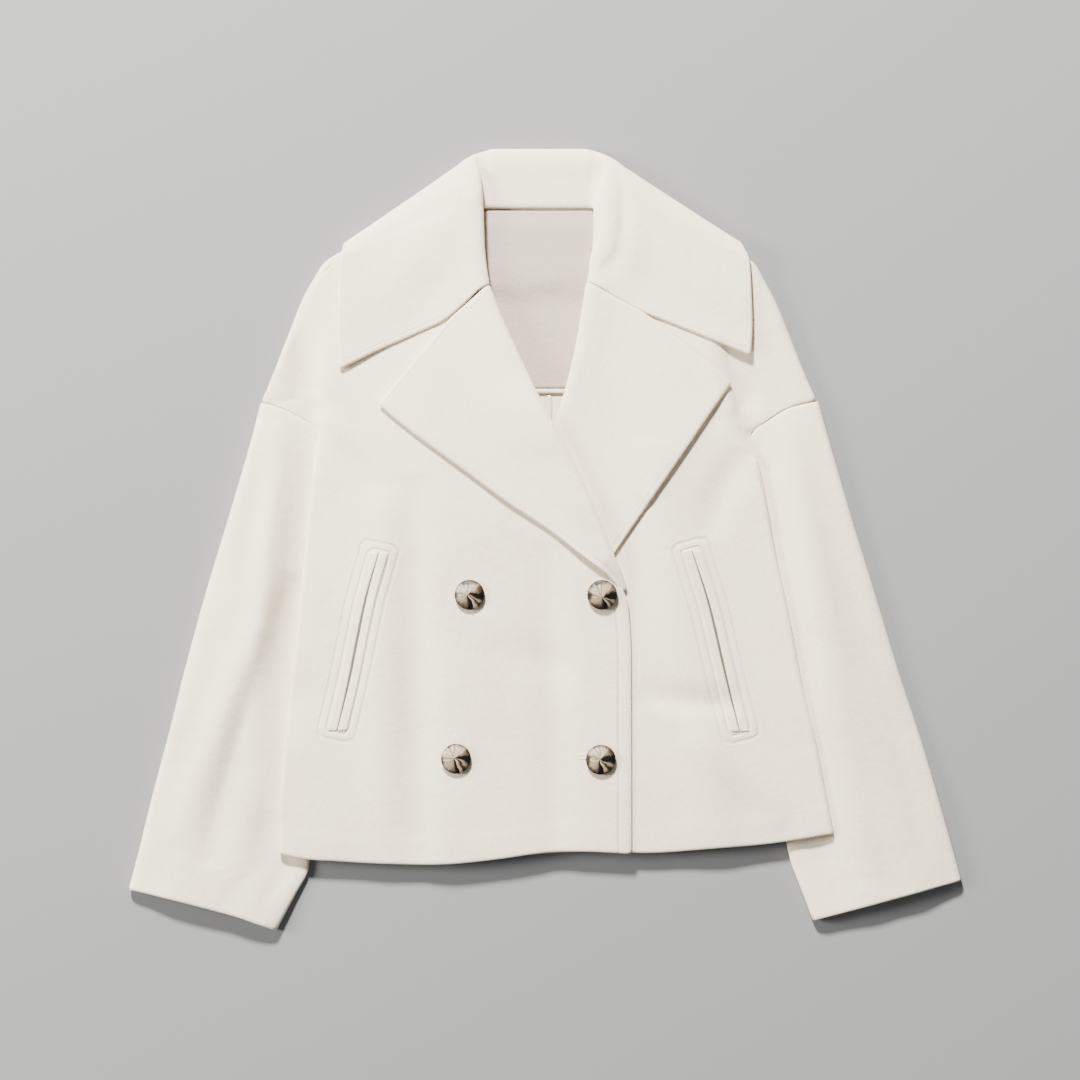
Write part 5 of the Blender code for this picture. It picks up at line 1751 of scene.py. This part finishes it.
def buttonhole_piece(name, x, y):
    """The worked end of a buttonhole that shows beside its button: a ring of close thread, drawn out towards it."""
    deselect_all()
    bpy.ops.mesh.primitive_torus_add(
        major_segments=32,
        minor_segments=8,
        major_radius=BUTTONHOLE_WIDTH / 2 * MM,
        minor_radius=BUTTONHOLE_THREAD / 2 * MM,
        location=(0, 0, 0),
    )
    obj = bpy.context.active_object
    obj.name = obj.data.name = name
    bpy.ops.object.mode_set(mode="EDIT")
    bpy.ops.mesh.select_all(action="DESELECT")
    bpy.ops.object.mode_set(mode="OBJECT")
    for vert in obj.data.vertices:
        vert.select = vert.co.x > 0.0001
    bpy.ops.object.mode_set(mode="EDIT")
    bpy.ops.transform.translate(value=((BUTTONHOLE_LENGTH - BUTTONHOLE_WIDTH) * MM, 0, 0))
    bpy.ops.object.mode_set(mode="OBJECT")
    slope_x, slope_y = cloth_slope(x, y)
    tilt = Matrix.Rotation(math.atan(slope_y), 4, "X") @ Matrix.Rotation(-math.atan(slope_x), 4, "Y")
    place = Matrix.Translation(Vector((x, y, front_top(x, y) + THREAD_SEAT)) * MM)
    obj.data.transform(place @ tilt)
    bpy.ops.object.shade_smooth()
    obj.data.materials.append(material_named("melton_wool"))
    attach(obj, "root")
    return obj


# Settings that a user may change


class JacketCloth(bpy.types.PropertyGroup):
    spacing: FloatProperty(
        name="Spacing",
        description="Distance between the points of the cloth",
        default=0.007,
        min=0.003,
        unit="LENGTH",
    )
    nap: FloatProperty(
        name="Nap",
        description="Length of the wool's nap, drawn coarser than life so that it shows",
        default=0.0016,
        unit="LENGTH",
    )
    wool_light: StringProperty(name="Wool, light", description="Colour of the wool's raised fibres", default="#EBDFC9")
    wool_dark: StringProperty(name="Wool, dark", description="Colour between the wool's fibres", default="#D9CBB4")
    # The facing's colours are darkened to paint the shade that falls inside the neck
    facing_shaded_light: StringProperty(name="Facing, light", description="Colour of the neck facing", default="#B5A79C")
    facing_shaded_dark: StringProperty(name="Facing, dark", description="Shade of the neck facing", default="#A5978C")


class JacketButtons(bpy.types.PropertyGroup):
    diameter: FloatProperty(name="Diameter", description="Width of a button", default=0.028, unit="LENGTH")
    sides: IntProperty(name="Sides", description="Number of sides that a button is turned with", default=32, min=12)


class JacketStage(bpy.types.PropertyGroup):
    floor_colour: StringProperty(name="Floor", description="Colour of the floor", default="#808285")
    light_colour: StringProperty(name="Light", description="Colour of both lights", default="#FFFAF2")
    key_power: FloatProperty(name="Key light", description="Power of the large soft light", default=760.0, unit="POWER")
    side_power: FloatProperty(name="Side light", description="Power of the light on the left", default=205.0, unit="POWER")
    sky: FloatProperty(name="Sky", description="Strength of the even light from all round", default=0.26)
    view_width: FloatProperty(
        name="View width", description="Width of floor that the camera sees", default=0.9936, unit="LENGTH"
    )
    camera_height: FloatProperty(name="Camera height", description="Height of the camera", default=3.4, unit="LENGTH")


# Operators


class JACKET_OT_body(bpy.types.Operator):
    """Make the backs, the fronts and the sleeves"""

    bl_idname = "jacket.body"
    bl_label = "Body and sleeves"

    def execute(self, context):
        for side in (RIGHT, LEFT):
            back_piece(side)
            sleeve_piece(side)
            front_pieces(side)
        return {"FINISHED"}


class JACKET_OT_collar(bpy.types.Operator):
    """Make the collar and the lapels"""

    bl_idname = "jacket.collar"
    bl_label = "Collar and lapels"

    def execute(self, context):
        collar_piece()
        for side in (RIGHT, LEFT):
            lapel_piece(side)
        return {"FINISHED"}


class JACKET_OT_neck(bpy.types.Operator):
    """Make the back neck facing, its hem band and the tape on the centre back seam"""

    bl_idname = "jacket.neck"
    bl_label = "Inside the neck"

    def execute(self, context):
        neck_pieces()
        return {"FINISHED"}


class JACKET_OT_pockets(bpy.types.Operator):
    """Make the two lips of each welt pocket"""

    bl_idname = "jacket.pockets"
    bl_label = "Pocket lips"

    def execute(self, context):
        for side in (RIGHT, LEFT):
            for place in ("outer", "inner"):
                lip_piece(side, place)
        return {"FINISHED"}


class JACKET_OT_buttons(bpy.types.Operator):
    """Make the four buttons, and the ends of the buttonholes that show beside two of them"""

    bl_idname = "jacket.buttons"
    bl_label = "Buttons"

    def execute(self, context):
        for number, row in enumerate(BUTTONS.named(), 1):
            button_piece(number, row["x"], row["y"])
        for name, row in zip(("buttonhole_upper", "buttonhole_lower"), BUTTONHOLES.named()):
            buttonhole_piece(name, row["x"], row["y"])
        return {"FINISHED"}


class JACKET_OT_stage(bpy.types.Operator):
    """Make the floor, the lights and the camera"""

    bl_idname = "jacket.stage"
    bl_label = "Stage"

    def execute(self, context):
        settings = context.scene.jacket_stage
        deselect_all()
        bpy.ops.mesh.primitive_plane_add(size=12.0, location=(0, 0, -0.0004))
        floor = context.active_object
        floor.name = "floor"
        # A board painted matt, so that it takes soft shadows and shows no reflections
        material, shader = new_material("painted_board")
        shader.inputs["Base Color"].default_value = linear(settings.floor_colour)
        shader.inputs["Roughness"].default_value = 0.9
        shader.inputs["Specular IOR Level"].default_value = 0.2
        floor.data.materials.append(material)
        for name, power, size, place, target in LIGHTS:
            bpy.ops.object.light_add(type="AREA", location=place)
            lamp = context.active_object
            lamp.name = name
            lamp.data.energy = getattr(settings, power)
            lamp.data.color = linear(settings.light_colour)[:3]
            lamp.data.shape = "SQUARE"
            lamp.data.size = size
            aim = Vector(target) - Vector(place)
            lamp.rotation_euler = aim.to_track_quat("-Z", "Y").to_euler()
        world = bpy.data.worlds.new("studio")
        world.use_nodes = True
        sky = world.node_tree.nodes["Background"]
        sky.inputs["Color"].default_value = (1.0, 1.0, 1.0, 1.0)
        sky.inputs["Strength"].default_value = settings.sky
        context.scene.world = world
        bpy.ops.object.camera_add(location=(*VIEW_CENTRE, settings.camera_height), rotation=(0, 0, 0))
        camera = context.active_object
        camera.name = "camera"
        camera.data.sensor_width = 36.0
        camera.data.lens = 36.0 * settings.camera_height / settings.view_width
        context.scene.camera = camera
        return {"FINISHED"}


class JACKET_PT_panel(bpy.types.Panel):
    bl_label = "Winter jacket"
    bl_idname = "JACKET_PT_panel"
    bl_space_type = "VIEW_3D"
    bl_region_type = "UI"
    bl_category = "Jacket"

    def draw(self, context):
        for group in ("jacket_cloth", "jacket_buttons", "jacket_stage"):
            settings = getattr(context.scene, group)
            box = self.layout.box()
            for name in settings.bl_rna.properties.keys():
                if name not in ("rna_type", "name"):
                    box.prop(settings, name)
        for operator in OPERATORS:
            self.layout.operator(operator.bl_idname)


GROUPS = {"jacket_cloth": JacketCloth, "jacket_buttons": JacketButtons, "jacket_stage": JacketStage}
OPERATORS = (
    JACKET_OT_body,
    JACKET_OT_collar,
    JACKET_OT_neck,
    JACKET_OT_pockets,
    JACKET_OT_buttons,
    JACKET_OT_stage,
)
CLASSES = (*GROUPS.values(), *OPERATORS, JACKET_PT_panel)


def register():
    for cls in CLASSES:
        bpy.utils.register_class(cls)
    for name, group in GROUPS.items():
        setattr(bpy.types.Scene, name, PointerProperty(type=group))


def unregister():
    for name in GROUPS:
        delattr(bpy.types.Scene, name)
    for cls in reversed(CLASSES):
        bpy.utils.unregister_class(cls)


def main():
    register()
    for name in ("neck", "pockets", "body", "collar", "buttons", "stage"):
        getattr(bpy.ops.jacket, name)()


if __name__ == "__main__":
    main()
